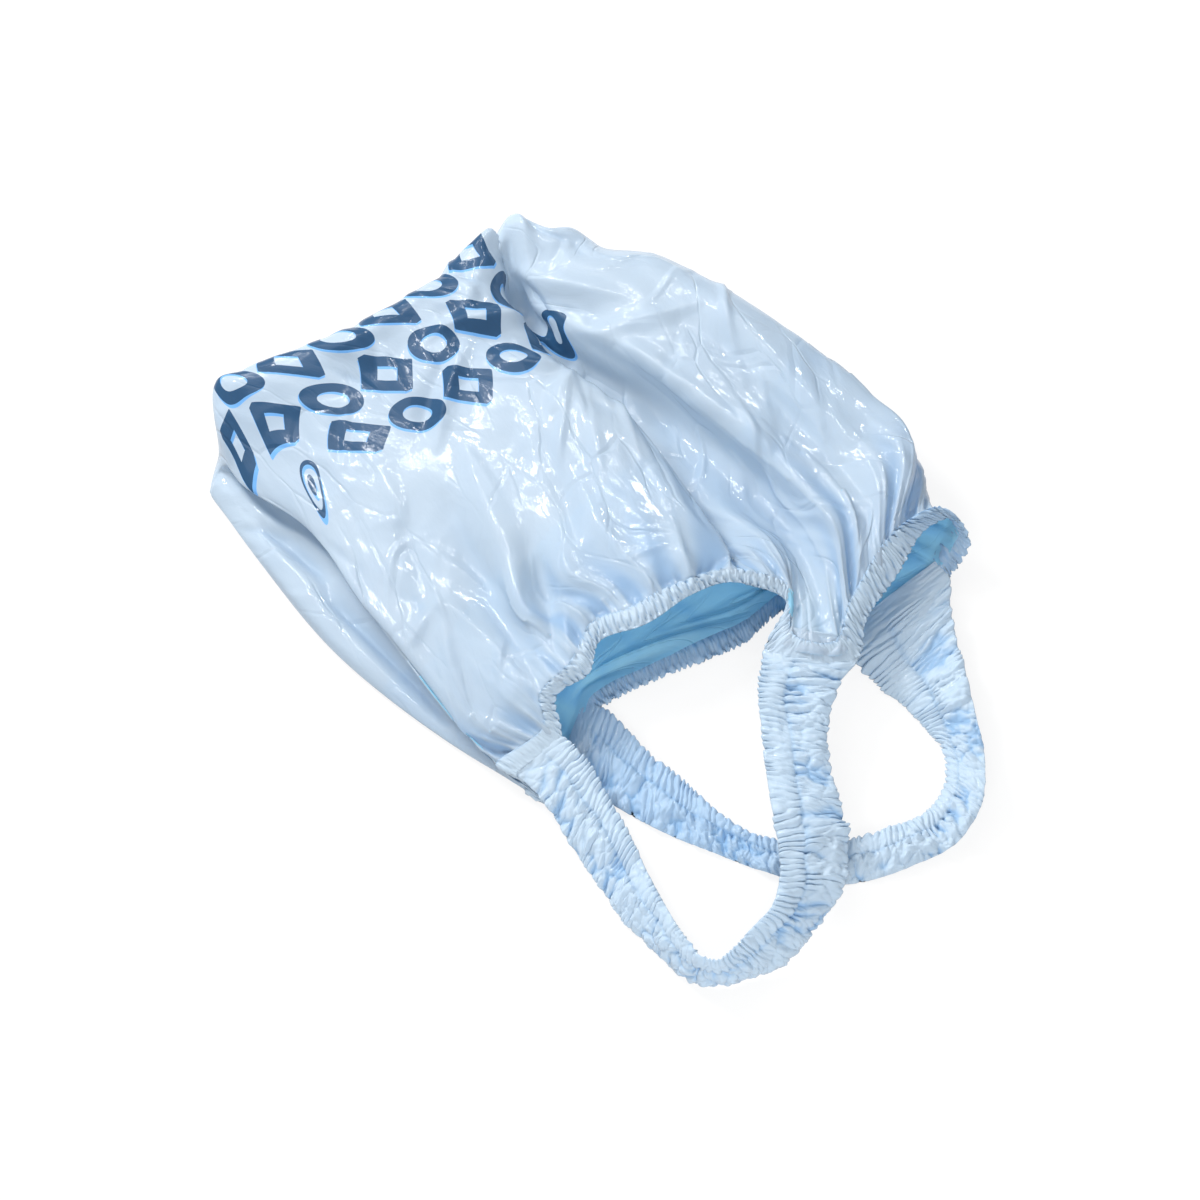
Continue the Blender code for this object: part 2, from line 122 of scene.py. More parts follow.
def grid_mesh(name, points, uv, painted_shade, closed=False, flip=False):
    """A mesh of quads over a grid of points, rows by columns. A closed grid joins its last column to its
    first, and its uv has one more column, so that its seam stays whole. The fourth argument says from 0 to 1
    how deep in a fold each point lies, which the finish paints as shade, a deeper blue. flip turns the faces
    over."""
    rows, columns = points.shape[:2]
    across = columns if closed else columns - 1
    row, column = np.meshgrid(np.arange(rows - 1), np.arange(across), indexing="ij")

    def quads(wide, after):
        """The numbers of each quad's corners, where a row has that many points."""
        return np.stack([row * wide + column, row * wide + after,
                         (row + 1) * wide + after, (row + 1) * wide + column], axis=-1).reshape(-1, 4)

    corners, at = quads(columns, (column + 1) % columns), quads(uv.shape[1], column + 1)
    if flip:
        corners, at = corners[:, ::-1], at[:, ::-1]
    mesh = bpy.data.meshes.new(name)
    mesh.vertices.add(rows * columns)
    mesh.vertices.foreach_set("co", points.reshape(-1).astype(np.float32))
    mesh.loops.add(corners.size)
    mesh.loops.foreach_set("vertex_index", corners.reshape(-1).astype(np.int32))
    mesh.polygons.add(len(corners))
    mesh.polygons.foreach_set("loop_start", np.arange(0, corners.size, 4, dtype=np.int32))
    mesh.update(calc_edges=True)
    layer = mesh.uv_layers.new(name="cloth")
    layer.data.foreach_set("uv", uv.reshape(-1, 2)[at.reshape(-1)].reshape(-1).astype(np.float32))
    # This attribute is painted shade: how much of the deeper fold blue the finish paints at each point.
    painted_fold_shade = mesh.attributes.new("painted_fold_shade", "FLOAT", "POINT")
    painted_fold_shade.data.foreach_set("value", np.clip(painted_shade, 0, 1).reshape(-1).astype(np.float32))
    mesh.shade_smooth()
    piece = bpy.data.objects.new(name, mesh)
    bpy.context.scene.collection.objects.link(piece)
    print(name, rows, "by", columns, "points,", 2 * len(corners), "triangles")
    return piece


# %% Lamps, world and floor


def softbox(name, place, size, power, aim=(0.0, 0.0, 0.03), mirrored=True):
    """A rectangular lamp at a place, turned to face a point on the bag. The film may mirror it or not."""
    lamp = bpy.data.lights.new(name, "AREA")
    lamp.shape, lamp.size, lamp.size_y, lamp.energy = "RECTANGLE", size[0], size[1], power
    item = bpy.data.objects.new(name, lamp)
    item.location, item.visible_glossy = place, mirrored
    item.rotation_euler = (Vector(aim) - Vector(place)).to_track_quat("-Z", "Y").to_euler()
    bpy.context.scene.collection.objects.link(item)


softbox("key_softbox", (-1.35, 1.45, 1.25), (0.8, 0.8), 66, mirrored=False)
softbox("broad_sheen", (-0.6, 1.0, 1.9), (1.8, 1.6), 6.5)
softbox("glint_left", (-0.45, 1.0, 1.5), (0.10, 0.16), 1.7)
softbox("glint_right", (0.5, 1.5, 1.4), (0.16, 0.08), 1.6)
softbox("streak_near", (0.05, 1.15, 1.75), (0.9, 0.05), 2.6)
softbox("streak_far", (-0.5, 1.9, 1.5), (0.05, 0.9), 2.6)
softbox("mouth_softbox", (0.10, -1.40, 0.75), (0.9, 0.5), 15, aim=(0.08, -0.08, 0.02), mirrored=False)
softbox("right_softbox", (1.7, 0.6, 1.0), (0.5, 1.0), 6, mirrored=False)

world = bpy.data.worlds.new("studio")
world.use_nodes = True
background = world.node_tree.nodes["Background"].inputs
background["Color"].default_value, background["Strength"].default_value = linear("#F8FBFF"), 0.328
bpy.context.scene.world = world

FLOOR_HALF_M, FLOOR_Z_M = 4.0, -0.0006
floor_mesh = bpy.data.meshes.new("floor")
floor_mesh.from_pydata([(x * FLOOR_HALF_M, y * FLOOR_HALF_M, FLOOR_Z_M)
                        for x, y in ((-1, -1), (1, -1), (1, 1), (-1, 1))], [], [(0, 1, 2, 3)])
floor = bpy.data.objects.new("floor", floor_mesh)
bpy.context.scene.collection.objects.link(floor)
# The floor is white paper. A camera or mirror ray sees it mostly as plain white light, and a share of the
# shaded paper keeps the bag's faint shadow.
paper, paper_out = new_material("white_paper")
shaded = add_node(paper, "BsdfDiffuse", Color=linear("#A8A8A8"))
plain = add_node(paper, "Emission", Color=linear("#FFFFFF"), Strength=0.84)
dimmed = add_node(paper, "BsdfDiffuse", Color=linear("#707070"))
seen = add_node(paper, "AddShader", input_0=plain.outputs[0], input_1=dimmed.outputs[0])
path = add_node(paper, "LightPath")
lens_or_mirror = add_node(paper, "Math", {"operation": "MAXIMUM"}, input_0=path.outputs["Is Camera Ray"],
                          input_1=path.outputs["Is Glossy Ray"])
direct = add_node(paper, "Math", {"operation": "MAXIMUM"}, input_0=lens_or_mirror.outputs[0],
                  input_1=path.outputs["Is Transmission Ray"])
choice = add_node(paper, "MixShader", input_0=direct.outputs[0], input_1=shaded.outputs[0],
                  input_2=seen.outputs[0])
paper.node_tree.links.new(choice.outputs[0], paper_out.inputs["Surface"])
floor_mesh.materials.append(paper)
print("stage: floor, eight lamps and a pale world")

# %% [markdown]
# The bag's outline
#
# The bag lies flat on its back, so its shape is easiest to hold as closed rings across it, from the closed
# end to the mouth. Each ring's point is (turn, across, down, height): a share of the way round the bag in
# hundredths, two places on a drawing seen from the camera, and a height in millimetres. A smooth curve
# through the rings gives every point between them. The same rings shape the plain solids, so the two agree.

# %% Rings and curves
DRAWN_MIDDLE = np.array([591.3, 611.7])
DRAWN_MM = 0.8

CLOSED_END = [
    (0, 206, 490, 2), (9, 212, 462, 6), (13, 222, 425, 6), (19, 290, 385, 6), (26, 370, 348, 6),
    (33, 455, 285, 6), (40, 490, 258, 6), (48, 525, 255, 6), (52, 540, 254, 4), (56, 530, 262, 0),
    (75, 375, 355, 0), (90, 240, 425, 0), (97, 208, 480, 0),
]
END_ROLL = [
    (0, 208, 496, 2), (3, 211, 485, 8), (6, 218, 470, 10), (9, 219, 457, 20), (13, 209, 384, 46),
    (17, 246, 363, 50), (19, 300, 342, 52), (22.5, 345, 324, 52), (26, 390, 298, 52), (29, 430, 272, 54),
    (31, 450, 253, 54), (33, 480, 222, 58), (36, 492, 232, 50), (40, 511, 204, 62), (45, 530, 213, 56),
    (48, 545, 220, 52), (50, 560, 219, 44), (52, 562, 226, 32), (54, 558, 236, 16), (56, 548, 250, 4),
    (60, 510, 280, 0), (75, 390, 350, 0), (90, 265, 420, 0), (97, 212, 480, 0),
]
PRINT_START = [
    (0, 222, 514, 3), (3, 234, 500, 10), (6, 252, 482, 8), (9, 238, 482, 22), (13, 270, 440, 38),
    (17, 315, 408, 46), (19, 345, 390, 48), (22.5, 395, 355, 52), (26, 440, 330, 54), (29, 490, 312, 54),
    (31, 512, 305, 44), (33, 505, 295, 24), (36, 515, 285, 24), (40, 525, 272, 48), (45, 545, 258, 56),
    (48, 575, 240, 58), (50, 595, 235, 50), (52, 603, 238, 36), (54, 600, 250, 18), (56, 590, 270, 4),
    (60, 550, 310, 0), (75, 410, 400, 0), (90, 285, 480, 0), (97, 232, 508, 0),
]
UPPER = [
    (0, 262, 566, 3), (3, 280, 552, 13), (6, 318, 520, 8), (9, 302, 524, 26), (13, 345, 497, 38),
    (17, 395, 455, 44), (19, 425, 432, 46), (22.5, 465, 400, 52), (26, 505, 375, 54), (29, 540, 357, 52),
    (31, 552, 352, 42), (33, 540, 350, 20), (36, 548, 335, 24), (40, 560, 318, 44), (45, 600, 300, 54),
    (48, 635, 275, 58), (50, 655, 255, 54), (52, 665, 248, 42), (54, 664, 265, 20), (56, 650, 290, 4),
    (60, 610, 330, 0), (75, 470, 440, 0), (90, 330, 540, 0), (97, 270, 562, 0),
]
MIDDLE = [
    (0, 340, 655, 3), (3, 362, 632, 14), (6, 405, 610, 8), (9, 388, 634, 26), (13, 425, 592, 35),
    (16.5, 462, 548, 38), (19, 497, 538, 46), (22.5, 535, 495, 50), (26, 575, 458, 56),
    (29, 612, 425, 56), (31, 632, 414, 44), (33, 620, 425, 18), (36, 648, 408, 16), (40, 672, 400, 26),
    (45, 698, 390, 50), (48, 722, 350, 52), (50, 745, 312, 54), (52, 757, 300, 44), (54, 756, 318, 22),
    (56, 742, 342, 4), (60, 700, 385, 0), (75, 560, 500, 0), (90, 410, 612, 0), (97, 350, 650, 0),
]
LOWER = [
    (0, 455, 742, 3), (3, 470, 722, 10), (6, 490, 705, 8), (9, 462, 728, 22), (12, 490, 690, 32),
    (15, 505, 650, 40), (17, 512, 622, 38), (19, 530, 610, 48), (20.5, 546, 598, 40),
    (22.5, 565, 580, 52), (26, 620, 545, 56), (29, 680, 515, 56), (31, 716, 530, 44), (33, 700, 535, 22),
    (35.5, 738, 520, 34), (38.5, 765, 522, 26), (41, 785, 520, 22), (45, 812, 490, 46),
    (47.5, 838, 462, 44), (50, 862, 430, 48), (52, 872, 392, 42), (54, 870, 410, 22), (56, 855, 435, 4),
    (60, 820, 470, 0), (75, 660, 590, 0), (90, 520, 690, 0), (97, 462, 738, 0),
]
SHOULDER = [
    (0, 500, 770, 3), (3, 498, 757, 10), (6, 505, 740, 8), (9, 482, 745, 20), (12, 512, 712, 32),
    (15, 525, 675, 42), (17, 538, 650, 42), (19, 560, 625, 48), (22, 590, 600, 52), (26, 645, 575, 56),
    (29, 690, 560, 56), (31, 728, 556, 46), (33, 724, 556, 34), (35.5, 765, 545, 44),
    (38.5, 790, 560, 36), (41, 812, 575, 34), (45, 840, 532, 50), (47.5, 862, 510, 48),
    (50, 888, 478, 52), (52, 914, 449, 50), (54, 926, 468, 34), (56, 924, 492, 14), (60, 892, 530, 1),
    (64, 850, 560, 0), (75, 700, 610, 0), (90, 545, 710, 0), (97, 505, 765, 0),
]
HEM_LINE = [
    (0, 530, 788, 3), (3, 520, 777, 7), (6, 513, 766, 9), (9, 500, 757, 17), (11, 530, 738, 26),
    (13, 545, 722, 32), (15, 540, 694, 40), (18, 572, 660, 47), (21, 592, 622, 50), (24, 630, 606, 52),
    (28, 680, 582, 54), (33, 745, 570, 50), (36, 790, 590, 42), (38, 788, 628, 40), (40, 808, 640, 40),
    (42, 832, 640, 38), (45, 848, 600, 42), (49, 878, 550, 46), (53, 905, 522, 46), (56, 938, 508, 42),
    (58, 952, 520, 26), (60, 935, 555, 12), (62, 925, 570, 6), (65, 885, 605, 0), (68, 838, 628, 0),
    (70, 800, 590, 0), (74, 730, 622, 0), (79, 660, 650, 0), (84, 600, 680, 1), (86, 585, 690, 1),
    (89, 575, 715, 1), (92, 562, 745, 1), (96, 545, 770, 0),
]
MOUTH_EDGE = [
    (0, 548, 799, 3), (3, 541, 790, 5), (6, 532, 780, 9), (9, 520, 768, 16), (11, 544, 749, 23),
    (13, 562, 732, 28), (15, 556, 698, 36), (18, 588, 672, 42), (21, 600, 640, 46), (24, 640, 627, 48),
    (28, 690, 595, 50), (33, 745, 585, 46), (36, 785, 608, 38), (38, 764, 650, 34), (40, 805, 660, 34),
    (42, 848, 662, 30), (45, 862, 622, 34), (49, 895, 575, 36), (53, 928, 527, 38), (56, 958, 520, 34),
    (58, 968, 545, 24), (60, 950, 574, 14), (62, 943, 580, 8), (65, 900, 622, 4), (68, 846, 648, 3),
    (70, 800, 612, 3), (74, 740, 645, 3), (79, 670, 672, 3), (84, 612, 698, 4), (86, 598, 706, 5),
    (89, 592, 735, 5), (92, 575, 770, 4), (96, 560, 792, 3),
]
SECTIONS = [
    (0.00, CLOSED_END), (0.05, END_ROLL), (0.13, PRINT_START), (0.27, UPPER),
    (0.50, MIDDLE), (0.75, LOWER), (0.86, SHOULDER), (0.93, HEM_LINE), (1.00, MOUTH_EDGE),
]


def unit(vectors):
    """The vectors at length one."""
    return vectors / np.maximum(np.linalg.norm(vectors, axis=-1, keepdims=True), 1e-12)


def smooth_step(values, low, high):
    """0 below low, 1 above high, and 3t squared less 2t cubed between."""
    t = np.clip((values - low) / (high - low), 0, 1)
    return t * t * (3 - 2 * t)


def curve(knots, values, at):
    """Smooth curve through values at the knots: a cubic between each two knots, whose slope at a knot is that
    of the line between its neighbours."""
    knots, values = np.asarray(knots, float), np.asarray(values, float)
    slopes = np.gradient(values, knots, axis=0, edge_order=1).reshape(len(knots), -1)
    cell = np.clip(np.searchsorted(knots, at, side="right") - 1, 0, len(knots) - 2)
    span = (knots[cell + 1] - knots[cell])[:, None]
    t = (at - knots[cell])[:, None] / span
    flat = values.reshape(len(knots), -1)
    result = (flat[cell] + (flat[cell + 1] - flat[cell]) * t * t * (3 - 2 * t)
              + slopes[cell] * span * t * (1 - t) ** 2 - slopes[cell + 1] * span * t * t * (1 - t))
    return result.reshape((len(at),) + values.shape[1:])


def ring(section, turns):
    """A closed section read at the given turns."""
    table = np.array(section, float) / [100, 1, 1, 1]
    wrapped = np.vstack([table[-3:] - [1, 0, 0, 0], table, table[:3] + [1, 0, 0, 0]])
    return curve(wrapped[:, 0], wrapped[:, 1:], turns)


def place(drawn):
    """World place in metres of drawn points: the slanted view is undone, and the height stays."""
    steps = np.asarray(drawn, float)
    height = steps[..., 2]
    across = (steps[..., 0] - DRAWN_MIDDLE[0]) * DRAWN_MM
    down = (DRAWN_MIDDLE[1] - steps[..., 1]) * DRAWN_MM
    away = (down - height * math.cos(VIEW_ANGLE)) / math.sin(VIEW_ANGLE)
    return np.stack([across, away, height], axis=-1) / 1000


def drawn_place(points):
    """Where world points stand on the drawing, in its own steps: across and down."""
    across = points[..., 0] * 1000 / DRAWN_MM + DRAWN_MIDDLE[0]
    rise = points[..., 1] * math.sin(VIEW_ANGLE) + points[..., 2] * math.cos(VIEW_ANGLE)
    return pairs(across, DRAWN_MIDDLE[1] - rise * 1000 / DRAWN_MM)


def bag_grid(turns, lengths):
    """The smooth bag as a grid of points, rows from the closed end to the mouth and columns round the bag."""
    rings = np.array([ring(section, turns) for _, section in SECTIONS])
    return place(curve([length for length, _ in SECTIONS], rings, lengths))


def outward_of(grid):
    """Outward unit direction at each point of a grid whose rows close on themselves."""
    around = np.roll(grid, -1, axis=1) - np.roll(grid, 1, axis=1)
    return unit(np.cross(np.gradient(grid, axis=0), around))


# The turns are spread so that the top, which shows, has most of the columns.
TOP_COLUMNS, UNDER_COLUMNS, FILM_ROWS = 396, 44, 212
TOP_TURNS, FILM_END = 0.62, 0.962
TURNS = np.concatenate([np.arange(TOP_COLUMNS) * TOP_TURNS / TOP_COLUMNS,
                        TOP_TURNS + np.arange(UNDER_COLUMNS) * (1 - TOP_TURNS) / UNDER_COLUMNS])
LENGTHS = np.linspace(0, 1, FILM_ROWS) ** 0.94 * FILM_END
bag = bag_grid(TURNS, LENGTHS)
print("smooth bag:", bag.shape, "from", np.round(bag.min((0, 1)), 3), "to", np.round(bag.max((0, 1)), 3))

# %% [markdown]
# How the film crumples
#
# Thin film hardly stretches, so it folds in three ways. Elastic at the mouth packs it into fine gathers,
# which join in pairs into fewer and wider folds as they run up the bag. Where the bag was pressed together it
# has long ridges and valleys. Everywhere else it has flat facets with creases between them. Each is a height
# along the film's outward direction, and their sum moves the smooth bag's points. The film's rows and columns
# stand about 2 mm apart, so every crest is rounded a little: a sharper one would come out as stairs.

# %% Noise on a lattice
LATTICE = 64


def lattice_noise(places, seed):
    """Smooth noise from -1 to 1: random numbers on a square lattice, mixed between the four round a place
    with the smooth step."""
    values = np.random.default_rng(seed).uniform(-1, 1, (LATTICE, LATTICE))
    cell = np.floor(places).astype(int)
    t = places - cell
    t = t * t * (3 - 2 * t)
    x, y = cell[..., 0] % LATTICE, cell[..., 1] % LATTICE
    x1, y1 = (x + 1) % LATTICE, (y + 1) % LATTICE
    low = values[x, y] + (values[x1, y] - values[x, y]) * t[..., 0]
    high = values[x, y1] + (values[x1, y1] - values[x, y1]) * t[..., 0]
    return low + (high - low) * t[..., 1]


def turned(places, degrees):
    """Places on a plane, turned about its origin."""
    c, s = math.cos(math.radians(degrees)), math.sin(math.radians(degrees))
    x, y = places[..., 0], places[..., 1]
    return pairs(x * c - y * s, x * s + y * c)


def facets(places, size, seed, warp=0.35):
    """Crumpled film: by how much the nearest of scattered points is nearer than the second nearest, in steps
    of the size. It is a field of flat tents with sharp valleys between them. The places are first bent by
    the warp's share of a size."""
    warped = places / size + warp * pairs(*(lattice_noise(places / size * 0.9, seed + n) for n in (1, 2)))
    cell = np.floor(warped).astype(int)
    jitter = np.random.default_rng(seed).uniform(0.05, 0.95, (LATTICE, LATTICE, 2))
    near, second = np.full(cell.shape[:-1], 9.0), np.full(cell.shape[:-1], 9.0)
    for step_x in (-1, 0, 1):
        for step_y in (-1, 0, 1):
            x, y = cell[..., 0] + step_x, cell[..., 1] + step_y
            centre = jitter[x % LATTICE, y % LATTICE] + pairs(x, y)
            far = np.linalg.norm(warped - centre, axis=-1)
            second = np.minimum(second, np.maximum(near, far))
            near = np.minimum(near, far)
    return second - near


# The flat cloth under each point: metres across from the front panel's left fold, and metres from the end.
FOLD_TURN = 0.09
steps_across = np.linalg.norm(np.roll(bag, -1, axis=1) - bag, axis=-1)
across_m = np.cumsum(steps_across, axis=1) - steps_across
across_m -= across_m[:, [int(np.argmin(abs(TURNS - FOLD_TURN)))]]
steps_along = np.linalg.norm(np.diff(bag, axis=0), axis=-1)
along_m = np.vstack([np.zeros(bag.shape[1]), np.cumsum(steps_along, axis=0)])
cloth = pairs(across_m, along_m)
print("cloth at the middle:", round(float(np.ptp(across_m[FILM_ROWS // 2])), 3), "m round,",
      round(float(along_m[-1].mean()), 3), "m long")

# %% Long ridges and valleys
# Each fold is a line on the drawing, a half width in drawing steps and a height in millimetres, below 0 for a
# valley. The last number is how sharp it is: 1 is a crease and 0 a round fold.
FOLDS = [
    ([(445, 500), (480, 570), (505, 620), (540, 680)], 20, -4.0, 0.6),
    ([(465, 455), (500, 540), (520, 600), (545, 660)], 16, 3.5, 0.9),
    ([(540, 560), (548, 600), (555, 645)], 10, -2.6, 0.8),
    ([(558, 590), (565, 625), (570, 660)], 8, 2.2, 0.9), ([(343, 400), (342, 465)], 10, -1.6, 0.9),
    ([(455, 315), (490, 310), (520, 313)], 12, 2.4, 0.9), ([(490, 357), (560, 362)], 9, 2.6, 0.8),
    ([(470, 335), (510, 338), (548, 345)], 12, -3.2, 0.7),
    ([(500, 262), (550, 275), (620, 290)], 12, 2.6, 0.9),
    ([(505, 280), (560, 300), (610, 312)], 14, -3.0, 0.6),
    ([(545, 300), (590, 327), (640, 315), (700, 297)], 10, 2.2, 0.9),
    ([(590, 327), (632, 345), (690, 385)], 10, 2.6, 0.9),
    ([(632, 345), (700, 395), (750, 430), (800, 480), (880, 560)], 14, 4.0, 0.8),
    ([(640, 380), (700, 470), (760, 515), (850, 585)], 24, -4.5, 0.5),
    ([(650, 260), (720, 300), (790, 370), (850, 440)], 14, 2.2, 0.7),
    ([(660, 300), (730, 345), (800, 420), (860, 490)], 14, -2.6, 0.7),
    ([(720, 350), (785, 390), (840, 455)], 9, 2.2, 0.9),
    ([(700, 505), (760, 530), (800, 600)], 12, 2.8, 0.7),
    ([(575, 385), (592, 430), (600, 470)], 10, 2.2, 0.9),
    ([(540, 430), (560, 480), (575, 540)], 12, -2.2, 0.7),
    ([(600, 470), (640, 520), (655, 570)], 12, 2.0, 0.8),
    ([(620, 440), (665, 500), (690, 550)], 12, -2.0, 0.8),
    ([(410, 645), (440, 605), (485, 632)], 9, 1.8, 1.0),
    ([(440, 605), (455, 670), (470, 700)], 9, 1.8, 1.0),
    ([(400, 520), (420, 570), (430, 600)], 10, -1.6, 0.9), ([(380, 470), (405, 520)], 9, 1.4, 0.9),
    ([(483, 250), (487, 300)], 9, 2.0, 0.9), ([(512, 208), (513, 250), (505, 290)], 8, 2.2, 1.0),
    ([(330, 330), (360, 350), (372, 400)], 10, 1.6, 0.9),
    ([(420, 290), (440, 330), (450, 380)], 10, 1.5, 0.9),
    ([(260, 380), (300, 430), (330, 500)], 11, -1.5, 0.9),
    ([(250, 480), (300, 545), (350, 612), (450, 715)], 12, -3.0, 0.7),
    ([(262, 560), (330, 640), (400, 705), (460, 745)], 10, 2.4, 0.8),
    ([(222, 465), (250, 505), (325, 556), (372, 610), (430, 680), (470, 735)], 8, 2.4, 1.0),
    ([(258, 520), (300, 553), (330, 575)], 9, -4.0, 1.0),
    ([(318, 590), (360, 622), (400, 660), (455, 722)], 12, -4.0, 0.9),
    ([(215, 400), (225, 460)], 7, 1.6, 1.0),
    ([(422, 338), (449, 320), (481, 315), (528, 310)], 9, 3.6, 1.0),
    ([(478, 244), (470, 280), (462, 308)], 8, 2.8, 1.0),
    ([(480, 244), (499, 267), (530, 308)], 8, 3.6, 1.0),
    ([(506, 262), (525, 300), (552, 330)], 11, -5.0, 0.9),
    ([(509, 204), (503, 225), (494, 252)], 7, 3.0, 1.0),
    ([(417, 292), (370, 322), (326, 349)], 10, 1.9, 1.0),
    ([(465, 338), (446, 390), (436, 445)], 9, 2.6, 1.0),
    ([(448, 350), (428, 395), (418, 440)], 11, -2.2, 0.8),
    ([(372, 362), (340, 346), (305, 342)], 8, 2.0, 1.0),
    ([(576, 363), (562, 385), (550, 412)], 10, 2.4, 1.0), ([(344, 390), (342, 467)], 5, 1.6, 1.0),
]
FOLD_GAIN, FOLD_POINTS = 1.45, 24


def fold_height(on_drawing, line, half_width, height, sharp):
    """A fold's height at each place: it falls off with the distance to the line, as a tent where it is sharp
    and as a bell where it is round, and it runs out at both ends."""
    line = np.array(line, float)
    knots = lengths_along(line)
    knots /= knots[-1]
    at = np.linspace(0, 1, FOLD_POINTS)
    points = curve(knots, line, at)
    best, where = np.full(on_drawing.shape[:-1], 1e9), np.zeros(on_drawing.shape[:-1])
    for start, end, first, last in zip(points[:-1], points[1:], at[:-1], at[1:]):
        run = end - start
        t = np.clip(((on_drawing - start) @ run) / (run @ run), 0, 1)
        far = np.linalg.norm(on_drawing - start - t[..., None] * run, axis=-1)
        where = np.where(far < best, first + (last - first) * t, where)
        best = np.minimum(best, far)
    ends = np.sin(math.pi * np.clip(where * 0.94 + 0.03, 0, 1)) ** 0.6
    distance = best / (half_width * (0.35 + 0.65 * ends))
    tent = np.clip(1.2 - np.hypot(distance / 1.6, 0.2), 0, 1) ** 1.7
    bell = np.exp(-distance ** 2)
    return height / 1000 * ends * (sharp * tent + (1 - sharp) * bell)


on_drawing = drawn_place(bag)
outward = outward_of(bag)
top = smooth_step(outward[..., 2], -0.1, 0.35) * smooth_step(bag[..., 2], 0.002, 0.009)
long_folds = FOLD_GAIN * sum(fold_height(on_drawing, *fold) for fold in FOLDS)
print("long folds from and to, in mm:", span_mm(long_folds))

# %% Gathers that run up from the mouth
# Each kind has a pitch in millimetres, a height in metres, a reach as a share of the bag, and a seed.
GATHERS = ((7.5, 0.0019, 0.10, 11), (15.0, 0.0032, 0.22, 12), (30.0, 0.0044, 0.40, 13))
HELD_FLAT, HELD_FROM, HELD_TO = 0.75, 0.90, 0.945
mouth_share = across_m[-1] / np.ptp(across_m[-1])


def gathers(share, lengths, pitch_mm, reach, seed):
    """Waves round the mouth, one for each pitch, with a sharp crest and a round trough. Each wave has its own
    reach up the bag, and its line wanders a little on the way."""
    count = round(np.ptp(across_m[-1]) * 1000 / pitch_mm)
    from_mouth = 1 - lengths[:, None] / FILM_END
    wander = lattice_noise(pairs(share[None] * count / 5, from_mouth * 5), seed)
    phase = share[None] * count + 1.1 * wander * (0.15 + from_mouth)
    own = lattice_noise(pairs(np.floor(phase) * 0.73, 0 * from_mouth), seed + 1)
    wave = 1 - 2 * abs(np.sin(math.pi * phase)) ** 0.7
    fade = np.clip(1 - from_mouth / (reach * (0.8 + 0.6 * own)), 0, 1)
    return wave * fade ** 1.4 * (0.75 + 0.5 * own)


gathered = sum(height_m * gathers(mouth_share, LENGTHS, pitch_mm, reach, seed)
               for pitch_mm, height_m, reach, seed in GATHERS)
# Under the hem the stitches hold the film nearly flat.
gathered *= 1 - HELD_FLAT * smooth_step(LENGTHS, HELD_FROM, HELD_TO)[:, None]
print("gathers from and to, in mm:", span_mm(gathered))

# %% Creases scattered over the cloth
# Pressed film keeps straight creases. Each has a middle, a direction, a bend, a length, a width and a height,
# all drawn from one seeded set of random numbers. They lie more lengthwise towards the mouth. Each kind here
# has a count, a largest length, width and height in metres, a spread in degrees, a seed, and 1 for ridges or
# -1 for valleys.
CREASES = ((90, 0.060, 0.017, 0.0030, 26, 41, 1), (120, 0.032, 0.010, 0.0014, 40, 42, 1),
           (90, 0.050, 0.014, 0.0022, 26, 43, -1))


def scattered_creases(places, count, length_m, width_m, height_m, spread_degrees, seed):
    """The sum of long tents on the cloth: each falls off across its line as a crease and runs out along it as
    a bell, and one side of it falls off faster than the other."""
    random = np.random.default_rng(seed)
    low, high = places.min((0, 1)), places.max((0, 1))
    total = np.zeros(places.shape[:-1])
    for middle, bend, size in zip(random.uniform(low, high, (count, 2)), random.normal(0, 1, (count, 2)),
                                  random.uniform(0.4, 1.0, (count, 3))):
        toward_mouth = np.clip((middle[1] - low[1]) / (high[1] - low[1]), 0, 1)
        direction = math.radians(90 + bend[0] * spread_degrees * (1.5 - toward_mouth))
        run = np.array([math.cos(direction), math.sin(direction)])
        step = places - middle
        along, aside = step @ run, step @ np.array([-run[1], run[0]])
        aside = aside + bend[1] * 0.9 * along ** 2
        wide = width_m * size[1] * np.where(aside > 0, 1.0, 0.6)
        tent = np.clip(1.22 - np.hypot(aside / wide, 0.22), 0, 1) ** 1.5
        total += height_m * size[2] * tent * np.exp(-(along / (length_m * size[0])) ** 2)
    return total


creases = sum(sign * scattered_creases(cloth, *kind) for *kind, sign in CREASES)
print("creases from and to, in mm:", span_mm(creases))

# %% Facets, and the film's final shape
# The fields of facets are turned over, so the edges between their tents stand up as ridges.
SMALL_FACET_M, LARGE_FACET_M = 0.030, 0.062
SMALL_RISE_M, LARGE_RISE_M, SOFT_RISE_M, CRUMPLE_DROP_M = 0.0006, 0.0028, 0.0003, 0.0004
CREASE_SHARE, LOWEST_M = 0.95, 0.0003
small = facets(turned(cloth, 24) * [1.0, 0.45], SMALL_FACET_M, 21, 0.0)
large = facets(turned(cloth, -38) * [1.0, 0.4], LARGE_FACET_M, 22, 0.0)
soft = lattice_noise(turned(cloth, 12) * [17, 5], 23) + 0.35 * lattice_noise(cloth * [38, 12], 24)
crumple = (LARGE_RISE_M * (0.5 - np.hypot(large, 0.22)) + SMALL_RISE_M * (0.5 - np.hypot(small, 0.25))
           + SOFT_RISE_M * soft + CREASE_SHARE * creases - CRUMPLE_DROP_M)
film_height = top * (long_folds + crumple) + gathered * smooth_step(bag[..., 2], 0.001, 0.008)
film_points = bag + outward * film_height[..., None]
film_points[..., 2] = np.maximum(film_points[..., 2], LOWEST_M)

